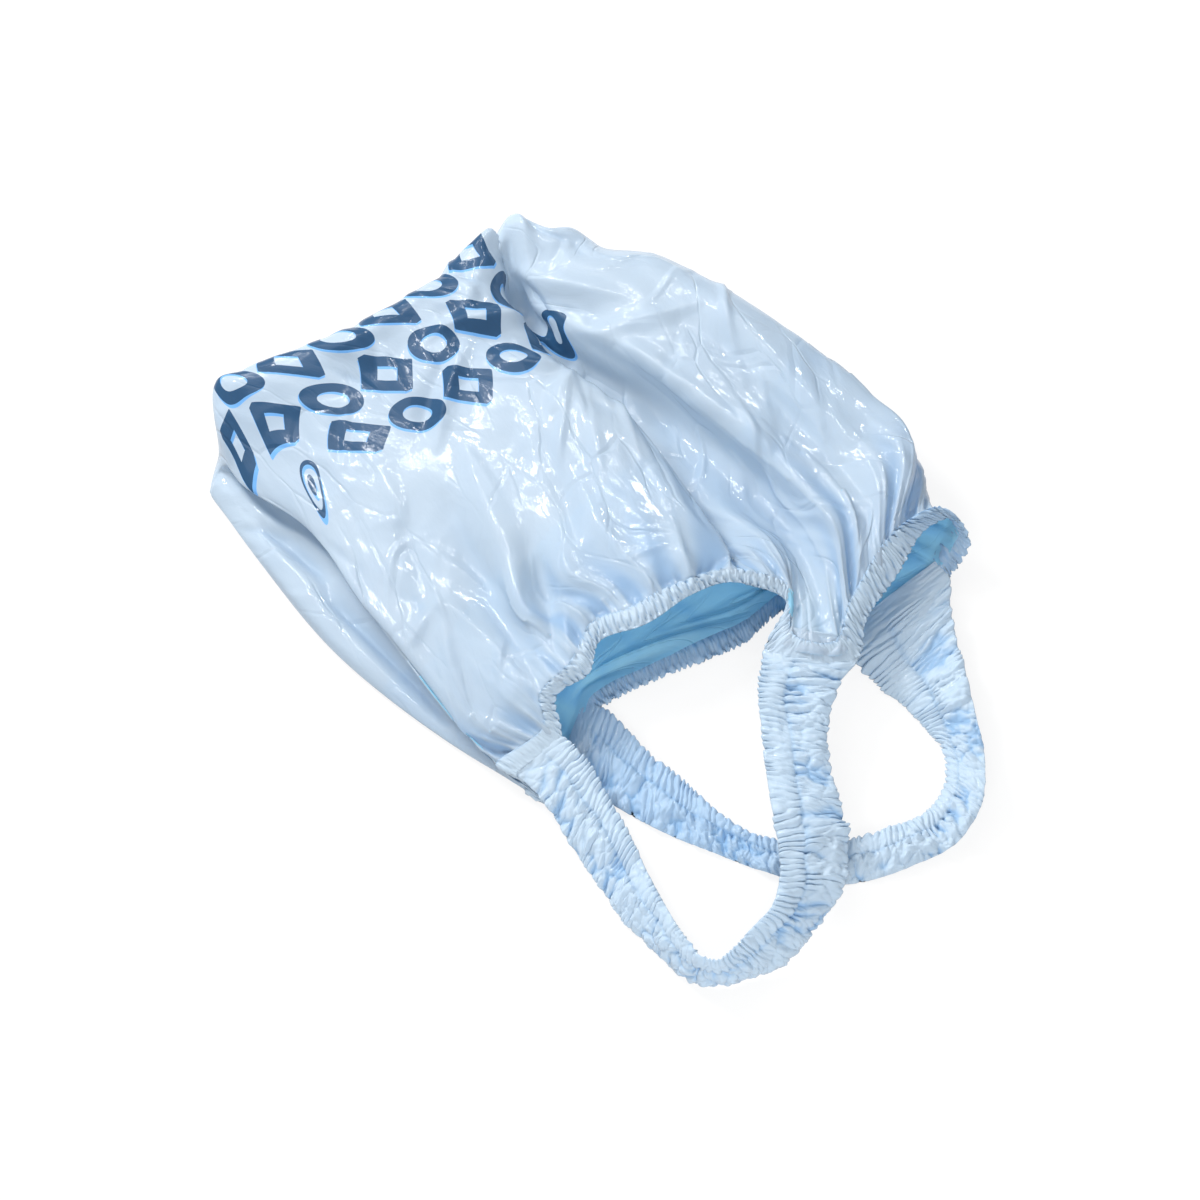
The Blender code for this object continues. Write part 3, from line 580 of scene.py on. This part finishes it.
# The closed end is a flat seam: each point of the first row's top meets the one under it half way.
SEAM_TURN, SEAM_M = 0.54, 0.006
partner = np.where(TURNS < SEAM_TURN, 1 - TURNS / SEAM_TURN * (1 - SEAM_TURN),
                   (1 - TURNS) / (1 - SEAM_TURN) * SEAM_TURN)
seam = (bag_grid(TURNS, LENGTHS[:1]) + bag_grid(partner % 1, LENGTHS[:1])) / 2
film_points = np.concatenate([seam, film_points])
cloth_edge = pairs(across_m[:, 0] + steps_across.sum(axis=1), along_m[:, 0])
film_uv = np.concatenate([cloth, cloth_edge[:, None]], axis=1)
film_uv = np.concatenate([film_uv[:1] - [0, SEAM_M], film_uv])
# How deep in a fold a point lies, in the valleys of the gathers, long folds and crumples, which the finish
# paints as shade, a deeper blue.
film_painted_shade = (0.75 * smooth_step(-gathered, 0.0004, 0.0035)
              + 0.4 * smooth_step(-long_folds * top, 0.0010, 0.0110)
              + 0.35 * smooth_step(-crumple * top, 0.0004, 0.0030))
film_painted_shade = np.concatenate([film_painted_shade[:1], film_painted_shade])
film = grid_mesh("film", film_points, film_uv, film_painted_shade, closed=True, flip=True)

# %% [markdown]
# The inner face
#
# The mouth shows the film's inner face. Its finish is painted a more saturated cyan blue than the outer
# film's, which is painted light for the light that reaches the inside through the film. A Solidify modifier
# would give the whole bag one, but nothing shows of it further in. So the points of the rows near the mouth
# are used again, moved in by the film's thickness and facing the other way. On the back panel, away from its
# two side edges, the inner face also lies in slack folds of its own.

# %% The inner face near the mouth
FILM_THICKNESS_M, INNER_FROM, INNER_LOWEST_M = 0.0007, 128, 0.0004
inner_points = film_points[INNER_FROM:] - outward[INNER_FROM - 1:] * FILM_THICKNESS_M
under = (smooth_step(-outward[INNER_FROM - 1:, :, 2], 0.3, 0.8) * smooth_step(TURNS, 0.64, 0.72)
         * (1 - smooth_step(TURNS, 0.83, 0.89)))
slack_film = 0.0055 * large[INNER_FROM - 1:] + 0.0030 * soft[INNER_FROM - 1:] + 0.0022
inner_height = np.maximum(inner_points[..., 2], INNER_LOWEST_M)
inner_points[..., 2] = inner_height + under * np.maximum(slack_film, 0)
# The inner face gets half the film's painted shade in its folds.
film_inside = grid_mesh("film_inside", inner_points, film_uv[INNER_FROM:], 0.5 * film_painted_shade[INNER_FROM:],
                        closed=True)

# %% [markdown]
# The ruffled hem
#
# Round the mouth the film is turned back over an elastic and sewn down, which makes a flat casing. Drawn in,
# the casing packs into small round ruffles with sharp valleys, about 7 mm apart. It could be a bump on the
# film, but its edge shows against the floor and against the dark inside, so the ruffles are real. The casing
# is a ring of small closed outlines: out along the film, over the edge and back on the inner face.

# %% Ruffles
WANDER_M = 0.016


def ruffle(distance, across, pitch, seed):
    """Waves along a gathered edge: round pleats with sharp valleys between them, as twice a power of the
    sine's size, less a little over one. The phase wanders along the edge and across it, so the spacing is
    uneven."""
    places = pairs(distance / WANDER_M, across * 1.6)
    phase = (distance / pitch + 0.8 * lattice_noise(places, seed)
             + 0.3 * lattice_noise(places * 2.3, seed + 4))
    strength = 0.7 + 0.6 * lattice_noise(places * [0.8, 1.6] + 7, seed + 1)
    return (2 * abs(np.sin(math.pi * phase)) ** 0.8 - 1.1) * strength


# %% The hem's surface
HEM_COLUMNS, HEM_SIDES, HEM_CLOTH_M = 2600, 18, 0.06
HEM_FULL_M, RUFFLE_M, RUFFLE_RISE_M, FINE_RISE_M = 0.0019, 0.0074, 0.0023, 0.0007
FINE_PITCH, UNEVEN_M = 0.46, 0.03
SEWN_TURNS = ((0.09, 0.13), (0.38, 0.42), (0.62, 0.68), (0.86, 0.92))
hem_turns = np.arange(HEM_COLUMNS) / HEM_COLUMNS
strip = bag_grid(hem_turns, np.array([0.915, 0.93, 0.965, 1.0]))
hem_in, hem_out = strip[1], strip[3]
hem_outward = outward_of(strip)[2]
hem_step = np.linalg.norm(np.roll(strip[2], -1, axis=0) - strip[2], axis=-1)
hem_distance = np.cumsum(hem_step) - hem_step
hem_length = float(hem_step.sum())
ruffle_pitch = hem_length / round(hem_length / RUFFLE_M)
angle = np.linspace(0, 2 * math.pi, HEM_SIDES, endpoint=False)
reach, rise = np.cos(angle), np.sin(angle)
# The casing is as full as the film is slack, and its line of stitches draws it in.
fullness = (HEM_FULL_M * (1 - 0.75 * np.exp(-((reach - 0.45) / 0.13) ** 2))
            * (0.35 + 0.65 * (1 - reach ** 4)))
wave = ruffle(hem_distance[:, None], reach[None], ruffle_pitch, 31)
fine = ruffle(hem_distance[:, None], reach[None], ruffle_pitch * FINE_PITCH, 33)
# Where a handle is sewn on, the hem lies flatter.
sewn = sum(smooth_step(hem_turns, low - 0.012, low + 0.008)
           * (1 - smooth_step(hem_turns, high - 0.008, high + 0.012)) for low, high in SEWN_TURNS)[:, None]
wave, fine = wave * (1 - 0.8 * sewn), fine * (1 - 0.6 * sewn)
fullness = fullness * (1 - 0.7 * sewn)
half_along = (hem_out - hem_in) / 2
centre = (hem_out + hem_in) / 2
uneven = lattice_noise(pairs(hem_distance / UNEVEN_M, 0 * hem_distance), 35)[:, None]
edge_share = 1 + (0.075 * wave + 0.04 * fine) * abs(reach) ** 2 + 0.10 * uneven
hem_points = (centre[:, None] + half_along[:, None] * (reach * edge_share)[..., None]
              + hem_outward[:, None] * (fullness * rise + RUFFLE_RISE_M * wave * (0.5 + 0.5 * abs(reach))
                                        + FINE_RISE_M * fine)[..., None])
hem_points[..., 2] = np.maximum(hem_points[..., 2], LOWEST_M)
hem_points = np.concatenate([hem_points, hem_points[:1]])
hem_uv = pairs(np.append(hem_distance, hem_length)[:, None],
               np.linspace(0, HEM_CLOTH_M, HEM_SIDES + 1)[None])
# Painted shade, a deeper blue: in the ruffles' valleys, along the edge where the casing meets the film, and
# over the rear half, which lies inside the mouth in the bag's own shade.
rear = (smooth_step(hem_turns, 0.50, 0.54) * (1 - smooth_step(hem_turns, 0.96, 0.99)))[:, None]
hem_painted_shade = (smooth_step(-wave, 0.1, 1.0) * (0.7 + 0.7 * rear) + 0.4 * smooth_step(-reach, 0.75, 1.0)
             + 0.5 * rear)
hem_painted_shade = np.concatenate([hem_painted_shade, hem_painted_shade[:1]])
hem = grid_mesh("ruffled_hem", hem_points, hem_uv, hem_painted_shade, closed=True)
print("mouth:", round(hem_length, 3), "m round the hem,", round(hem_length / ruffle_pitch), "ruffles")

# %% [markdown]
# The gathered handles
#
# Each handle is a film tube, flattened and gathered over elastic along both its edges and its middle seam. It
# reads as two rows of ruffles with a crease between them. The half on the inside of the loop is packed
# tightly, and the outer half is fuller and crumples. A closed outline carried along the loop makes it, and
# the ruffles move its points along its upward direction and its edges in and out.

# %% Handle outlines
# Each pair is a point on the outer edge and the one across from it on the inner edge, placed as on the rings.
FRONT_HANDLE = [
    ((545, 798, 13), (583, 750, 25)), ((572, 840, 6), (605, 785, 20)), ((600, 880, 4), (630, 830, 18)),
    ((632, 920, 1), (655, 880, 22)), ((665, 952, 1), (680, 920, 30)), ((697, 971, 1), (700, 941, 38)),
    ((722, 971, 1), (712, 943, 40)), ((752, 962, 1), (728, 932, 38)), ((785, 942, 4), (745, 915, 34)),
    ((815, 912, 8), (766, 893, 34)), ((838, 868, 16), (774, 862, 32)), ((842, 830, 22), (772, 835, 32)),
    ((832, 790, 26), (764, 780, 32)), ((823, 745, 30), (759, 735, 34)), ((826, 710, 32), (756, 698, 36)),
    ((836, 682, 32), (757, 672, 36)),
]
REAR_HANDLE = [
    ((950, 615, 14), (872, 682, 1)), ((960, 665, 18), (900, 706, 1)), ((970, 715, 22), (924, 730, 1)),
    ((977, 765, 22), (939, 752, 1)), ((972, 800, 16), (938, 783, 4)), ((948, 836, 8), (918, 806, 8)),
    ((905, 858, 4), (890, 818, 10)), ((855, 874, 1), (855, 830, 8)), ((800, 875, 1), (800, 835, 6)),
    ((765, 866, 1), (765, 832, 6)), ((715, 848, 1), (720, 810, 6)), ((660, 826, 1), (675, 770, 6)),
    ((615, 802, 1), (640, 742, 6)), ((590, 785, 1), (612, 712, 6)),
]

# %% Handle surfaces
STRAP_UPPER, STRAP_LOWER, STRAP_COLUMNS = 46, 18, 1180
STRAP_HALF_MM, STRAP_WIDE_M, STRAP_CLOTH_M, ROOT_M = 3.4, 0.045, 0.11, 0.05
INNER_PITCH_M, SEAM_PITCH_M, EDGE_PITCH_M = 0.0062, 0.0078, 0.0105
INNER_RISE_M, SEAM_RISE_M, EDGE_RISE_M = 0.0018, 0.0019, 0.0016


def strap(name, drawn, first_turns, last_turns, seed, shaded_end_share=0.0):
    """A gathered handle as a closed grid: outlines across the strap, carried between its outer and its inner
    edge. Its ends run into the hem between the turns given for each root. Over the share of its length given
    by the last argument, at its last end, where the handle lies in the bag's shade, a deeper blue is painted
    as shade."""
    ends = [bag_grid(np.array(turns), np.array([0.94, 0.985])) for turns in (first_turns, last_turns)]
    edges = np.concatenate([ends[0], place(drawn), ends[1][::-1]])
    middle_knots = edges.mean(axis=1)
    knots = lengths_along(middle_knots)
    at = np.linspace(0, knots[-1], STRAP_COLUMNS)
    middle = curve(knots, middle_knots, at)
    half = curve(knots, (edges[:, 0] - edges[:, 1]) / 2, at)
    upward = unit(np.cross(half, np.gradient(middle, axis=0)))
    upward *= np.sign(np.median(upward[STRAP_COLUMNS // 5:-STRAP_COLUMNS // 5, 2]))
    # Across the top from the outer edge, 1, to the inner edge, -1, and back underneath.
    side = np.concatenate([np.linspace(1, -1, STRAP_UPPER + 1)[:-1],
                           np.linspace(-1, 1, STRAP_LOWER + 1)[:-1]])
    rise = np.repeat([1.0, -1.0], [STRAP_UPPER, STRAP_LOWER])
    distance, side, rise = at[:, None], np.sin(side[None] * 1.15) / math.sin(1.15), rise[None]
    near_root = 1 - smooth_step(np.minimum(distance, knots[-1] - distance), 0.004, ROOT_M)

    def noise(pitch, across, offset):
        """Lattice noise whose cells have that length along the strap and that count across its half."""
        return lattice_noise(pairs(distance / pitch, side * across), seed + offset)

    def crumples(size, stretch, offset):
        """Round lumps with sharp valleys: the facets' root, on the strap's own plane in metres."""
        bend = 0.004 * noise(0.012, 1.5, offset + 1)
        plane = pairs((distance + bend) * stretch, side * STRAP_WIDE_M / 2 + bend)
        return facets(turned(plane, 24), size, seed + offset) ** 0.65 - 0.45

    # The elastic's seam lies nearer the inner edge. Pleats start at it and at both edges and die out between.
    seam_side = -0.22 + 0.10 * noise(0.05, 0, 5) + 0.05 * noise(0.018, 0, 6)
    outer = smooth_step(side - seam_side, -0.03, 0.03)
    share = np.where(side > seam_side, (side - seam_side) / (1 - seam_side),
                     (seam_side - side) / (1 + seam_side))
    length = 0.52 + 0.30 * noise(0.010, 1, 7)
    by_seam = 1 - smooth_step(share, 0.0, length)
    by_edge = smooth_step(share, 1 - length, 0.95)
    inner_pleats = ruffle(distance, side * 0.7, INNER_PITCH_M, seed)
    seam_pleats = ruffle(distance, side * 0.5, SEAM_PITCH_M, seed + 20)
    edge_pleats = ruffle(distance, side * 0.6, EDGE_PITCH_M, seed + 22)
    pleats = (INNER_RISE_M * inner_pleats * (1 - outer) * (0.45 + 0.55 * np.maximum(by_seam, by_edge))
              + SEAM_RISE_M * seam_pleats * outer * by_seam + EDGE_RISE_M * edge_pleats * outer * by_edge)
    puffs = 0.0036 * crumples(0.020, 1.7, 30) + 0.0016 * crumples(0.0095, 1.5, 34)
    lumps = 0.0028 * noise(0.019, 1.3, 9) + 0.0015 * noise(0.008, 2.0, 10)
    slack = 1 - 0.85 * near_root
    lift = (pleats + (puffs + lumps) * (0.35 + 0.65 * outer)) * slack
    # The film bulges away from the seam on both sides of it.
    rolls = np.sqrt(np.clip(np.sin(math.pi * np.clip(share, 0, 1) ** 0.75), 0, 1))
    edge_round = np.sqrt(np.clip(1 - side ** 6, 0, 1))
    body = (STRAP_HALF_MM / 1000 * edge_round * (0.35 + 0.85 * rolls * (0.6 + 0.4 * outer))
            * (1 - 0.75 * near_root))
    body = np.maximum(body, 0.0002)
    at_edge = abs(side) ** 3 * (1 - near_root)
    edge_wave = np.where(outer > 0.5, edge_pleats, inner_pleats)
    scallop = 1 + at_edge * (14 * puffs + 14 * lumps + 0.035 * edge_wave)
    keep = np.where(rise > 0, 1.0, 0.3 + 0.7 * side ** 4)
    points = (middle[:, None] + half[:, None] * (side * scallop)[..., None]
              + upward[:, None] * (body * rise + lift * keep)[..., None])
    points[..., 2] = np.maximum(points[..., 2], LOWEST_M)
    # Painted shade, a deeper blue: in the pleats' valleys, along the elastic's seam, and on the last end
    # where the handle lies in the bag's shade.
    painted_shade = 0.85 * smooth_step(-lift, 0.0006, 0.0036) + 0.35 * np.exp(-(share / 0.06) ** 2) * slack
    if shaded_end_share:
        painted_shade = painted_shade + 0.5 * smooth_step(distance / knots[-1], 0.97 - shaded_end_share, 1.03 - shaded_end_share)
    uv = pairs(distance, np.linspace(0, STRAP_CLOTH_M, STRAP_UPPER + STRAP_LOWER + 1)[None])
    # Each end closes in its own middle.
    for end in (0, -1):
        points[end] = points[end].mean(axis=0)
    print(name, "is", round(float(knots[-1]), 3), "m along its middle")
    return grid_mesh(name, points, uv, painted_shade, closed=True), float(knots[-1]), points


front_strap, front_length, front_points = strap(
    "front_strap", FRONT_HANDLE, (0.085, 0.13), (0.43, 0.375), 50)
rear_strap, rear_length, rear_points = strap(
    "rear_strap", REAR_HANDLE, (0.60, 0.68), (0.92, 0.86), 70, shaded_end_share=0.36)

# %% [markdown]
# Coated film
#
# The film is a thin plastic sheet with a clear, glossy coat. The eye sees a pale blue body under a sharp, wet
# looking reflection, and fine creases that break the reflection up. So the shader has a body of medium
# roughness, a thin smooth coat over it, and a bump of small creases and ripples that only the light shows.
# Some light passes through the film, so it is mixed with a translucent shader.

# %% Film finish
# The broad patches of tint are about 70 mm across, and the creases stand about 33 by 77 mm apart, which is
# coarser than the finest on real film, because finer ones would not show here.
PATCHES_A_METRE, BENDS_A_METRE = 14.0, 22.0
CREASES_A_METRE, CREASE_BEND, CREASE_DEEP_M = (30.0, 13.0, 1.0), 0.014, 0.0010


def film_material(name, pale, deep, fold, roughness, coat, passed, printed):
    """Coated film: pale blue, slightly deeper in broad patches, with painted shade in its folds: the fold
    colour, mixed in as far as the mesh's fold attribute says. A share of the light is passed through. Over it
    lie a clear coat, creased bumps and, where it is asked for, the print."""
    material, out = new_material(name)
    place_at = add_node(material, "TexCoord").outputs["Object"]
    patch = add_node(material, "TexNoise", Vector=place_at, Scale=PATCHES_A_METRE, Detail=3.0,
                     Roughness=0.5)
    colour = add_node(material, "Mix", {"data_type": "RGBA"}, Factor=patch.outputs["Fac"],
                      input_6=linear(pale), input_7=linear(deep)).outputs[2]
    # The fold colour, mixed in by this attribute, is painted shade in folds, creases and pleat valleys.
    painted_shade = add_node(material, "Attribute", {"attribute_name": "painted_fold_shade"}).outputs["Fac"]
    shade = add_node(material, "Math", {"operation": "MULTIPLY"}, input_0=painted_shade, input_1=0.66)
    colour = add_node(material, "Mix", {"data_type": "RGBA"}, Factor=shade.outputs[0], input_6=colour,
                      input_7=linear(fold)).outputs[2]
    if printed:
        colour = printed_colour(material, colour)
    on_cloth = add_node(material, "UVMap", {"uv_map": "cloth"}).outputs["UV"]
    warp = add_node(material, "TexNoise", Vector=place_at, Scale=BENDS_A_METRE, Detail=2.0).outputs["Color"]
    warped = add_node(material, "Mix", {"data_type": "VECTOR"}, input_0=CREASE_BEND, input_4=on_cloth,
                      input_5=warp).outputs[1]
    long_cells = add_node(material, "Mapping", Vector=warped, Scale=CREASES_A_METRE).outputs["Vector"]
    crease = add_node(material, "TexVoronoi", {"feature": "DISTANCE_TO_EDGE"}, Vector=long_cells, Scale=1.0)
    sharp = add_node(material, "MapRange", Value=crease.outputs["Distance"], From_Max=0.05)
    here = add_node(material, "MapRange", Value=patch.outputs["Fac"], From_Min=0.42, From_Max=0.62)
    shown = add_node(material, "Math", {"operation": "MULTIPLY"}, input_0=sharp.outputs["Result"],
                     input_1=here.outputs["Result"])
    ripple = add_node(material, "TexNoise", Vector=long_cells, Scale=1.6, Detail=5.0, Roughness=0.6)
    height = add_node(material, "Math", {"operation": "MULTIPLY_ADD"}, input_0=ripple.outputs["Fac"],
                      input_1=1.1, input_2=shown.outputs[0])
    creased = add_node(material, "Bump", Height=height.outputs[0], Strength=0.55,
                       Distance=CREASE_DEEP_M)
    shader = add_node(material, "BsdfPrincipled", Base_Color=colour, Roughness=roughness, IOR=1.48,
                      Coat_Weight=coat, Coat_Roughness=0.045, Coat_IOR=1.5, Normal=creased.outputs[0],
                      Coat_Normal=creased.outputs[0])
    glow = add_node(material, "BsdfTranslucent", Color=colour, Normal=creased.outputs[0])
    through = add_node(material, "MixShader", Fac=passed, input_1=shader.outputs[0],
                       input_2=glow.outputs[0])
    material.node_tree.links.new(through.outputs[0], out.inputs["Surface"])
    return material


# %% [markdown]
# The print
#
# The front panel has a bold print near the closed end, dark blue with a brighter blue edge that makes it look
# raised. Here it is a plain pattern of rings and lozenges in rows. Each shape is a short formula on the flat
# cloth's metres, so it bends and breaks with the folds, as ink on film does.

# %% Print formula
CELL_M, ROW_M, ROW_SLIDE_M = 0.047, 0.050, 0.013
RING_RADIUS_M, RING_HALF_M = 0.0150, 0.0050
LOZENGE_M, LOZENGE_HOLE_M = 0.0240, 0.0095
PRINT_LOW, PRINT_HIGH = (0.012, 0.036), (0.330, 0.186)
LEFT_STEP_M = 0.026
BADGE_PLACE, BADGE_RADIUS_M, BADGE_HALF_M, BADGE_DOT_M = (0.034, 0.158), 0.0112, 0.0013, 0.0048
BADGE_SQUASH = 0.72
EDGE_SHIFT_M = (0.0022, -0.0018)

# Each row of the formula is a name, an operation and its inputs, which are numbers or names from above it.
# The cloth is cut into cells in staggered rows. In every other cell stands a ring, the band round a circle,
# and in the rest a lozenge with a hole, where the sizes of both distances add up. A cell is printed where its
# middle lies inside the print's edges, so no shape is cut. The badge is a thin ring with a dot in it.
FORMULA = [
    ("x", "ADD", "across", "shift_x"), ("y", "ADD", "along", "shift_y"),
    ("y_from_first", "SUBTRACT", "y", PRINT_LOW[1]),
    ("rows", "DIVIDE", "y_from_first", ROW_M), ("row", "FLOOR", "rows"),
    ("slid", "MULTIPLY_ADD", "row", ROW_SLIDE_M, "x"),
    ("cells", "DIVIDE", "slid", CELL_M), ("cell", "FLOOR", "cells"), ("cell_middle", "ADD", "cell", 0.5),
    ("cell_x", "MULTIPLY", "cell_middle", CELL_M), ("local_x", "SUBTRACT", "slid", "cell_x"),
    ("row_middle", "ADD", "row", 0.5), ("row_y", "MULTIPLY", "row_middle", ROW_M),
    ("local_y", "SUBTRACT", "y_from_first", "row_y"),
    ("x_squared", "MULTIPLY", "local_x", "local_x"),
    ("squares", "MULTIPLY_ADD", "local_y", "local_y", "x_squared"),
    ("radius", "SQRT", "squares"), ("off_circle", "SUBTRACT", "radius", RING_RADIUS_M),
    ("off_size", "ABSOLUTE", "off_circle"), ("in_ring", "LESS_THAN", "off_size", RING_HALF_M),
    ("size_x", "ABSOLUTE", "local_x"), ("size_y", "ABSOLUTE", "local_y"),
    ("size", "MULTIPLY_ADD", "size_y", 0.85, "size_x"), ("in_outer", "LESS_THAN", "size", LOZENGE_M),
    ("off_hole", "GREATER_THAN", "size", LOZENGE_HOLE_M), ("in_lozenge", "MULTIPLY", "in_outer", "off_hole"),
    ("count", "ADD", "row", "cell"), ("parity", "FLOORED_MODULO", "count", 2.0),
    ("odd", "GREATER_THAN", "parity", 0.5), ("even", "SUBTRACT", 1.0, "odd"),
    ("rings", "MULTIPLY", "in_ring", "odd"), ("shapes", "MULTIPLY_ADD", "in_lozenge", "even", "rings"),
    ("middle_x", "MULTIPLY_ADD", "row", -ROW_SLIDE_M, "cell_x"),
    ("from_left", "MULTIPLY_ADD", "row", -LEFT_STEP_M, "middle_x"),
    ("right_of", "GREATER_THAN", "from_left", PRINT_LOW[0]),
    ("left_of", "LESS_THAN", "middle_x", PRINT_HIGH[0]),
    ("above", "GREATER_THAN", "y", PRINT_LOW[1]), ("below", "LESS_THAN", "y", PRINT_HIGH[1]),
    ("between", "MULTIPLY", "right_of", "left_of"), ("in_rows", "MULTIPLY", "above", "below"),
    ("inside", "MULTIPLY", "between", "in_rows"), ("pattern", "MULTIPLY", "shapes", "inside"),
    ("badge_left", "SUBTRACT", "x", BADGE_PLACE[0]), ("badge_x", "MULTIPLY", "badge_left", BADGE_SQUASH),
    ("badge_y", "SUBTRACT", "y", BADGE_PLACE[1]), ("badge_x_squared", "MULTIPLY", "badge_x", "badge_x"),
    ("badge_squares", "MULTIPLY_ADD", "badge_y", "badge_y", "badge_x_squared"),
    ("badge", "SQRT", "badge_squares"), ("off_badge", "SUBTRACT", "badge", BADGE_RADIUS_M),
    ("off_badge_size", "ABSOLUTE", "off_badge"), ("badge_ring", "LESS_THAN", "off_badge_size", BADGE_HALF_M),
    ("badge_dot", "LESS_THAN", "badge", BADGE_DOT_M), ("badge_shape", "MAXIMUM", "badge_ring", "badge_dot"),
    ("print", "MAXIMUM", "pattern", "badge_shape"),
]


def print_mask(material, across, along, shift):
    """1 where the print lies and 0 elsewhere, worked out by the formula's rows, one Math node for each."""
    values = {"across": across, "along": along, "shift_x": shift[0], "shift_y": shift[1]}
    for name, operation, *terms in FORMULA:
        inputs = {f"input_{place}": values.get(term, term) for place, term in enumerate(terms)}
        values[name] = add_node(material, "Math", {"operation": operation}, **inputs).outputs[0]
    return values["print"]


def printed_colour(material, ground):
    """The film's colour with the print over it: first the bright edge, then the dark shapes."""
    cloth_uv = add_node(material, "UVMap", {"uv_map": "cloth"})
    axes = add_node(material, "SeparateXYZ", Vector=cloth_uv.outputs["UV"])
    across, along = axes.outputs["X"], axes.outputs["Y"]
    edge = print_mask(material, across, along, EDGE_SHIFT_M)
    dark = print_mask(material, across, along, (0.0, 0.0))
    edged = add_node(material, "Mix", {"data_type": "RGBA"}, Factor=edge, input_6=ground,
                     input_7=linear("#7FBEFA")).outputs[2]
    return add_node(material, "Mix", {"data_type": "RGBA"}, Factor=dark, input_6=edged,
                    input_7=linear("#335A7E")).outputs[2]


# The third colour of each finish is the painted shade that its folds get.
film_finish = film_material("coated_film", "#CBD9E4", "#C2D4E5", "#86B5DE", 0.30, 0.85, 0.35, True)
# The inner face's more saturated cyan colours are painted light for the light that comes in through the film.
inner_finish = film_material("coated_film_inner_face", "#C4F2FF", "#A8E6FF", "#7CC8F2", 0.26, 0.9, 0.55,
                             False)
strap_finish = film_material("coated_film_gathered", "#D0E1EE", "#C5DAEC", "#78B0DF", 0.34, 0.6, 0.25,
                             False)
for piece, finish in ((film, film_finish), (film_inside, inner_finish), (hem, strap_finish),
                      (front_strap, strap_finish), (rear_strap, strap_finish)):
    piece.data.materials.append(finish)

# %% [markdown]
# Hiding the plain solids
#
# So far these are only surfaces. Each now rides on the root body, the plain solids that they replace are
# hidden, and the surface of each piece is printed.

for piece, slot in ((film, "film"), (film_inside, "film"), (hem, "film"), (front_strap, "strap_film"),
                    (rear_strap, "strap_film")):
    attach(piece, "root")
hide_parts("bag_body")
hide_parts("bag_body")
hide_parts("bag_body")
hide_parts("front_handle")
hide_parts("rear_handle")


def grid_area(points):
    """The surface of a closed grid: half the size of the cross product of each quad's diagonals."""
    after = np.roll(points, -1, axis=1)
    one = after[1:] - points[:-1]
    two = points[1:] - after[:-1]
    return float(np.linalg.norm(np.cross(one, two), axis=-1).sum() / 2)


for name, points in (("film", film_points), ("hem", hem_points), ("front strap", front_points),
                     ("rear strap", rear_points)):
    print(name, "has", round(grid_area(points), 4), "square metres of surface")
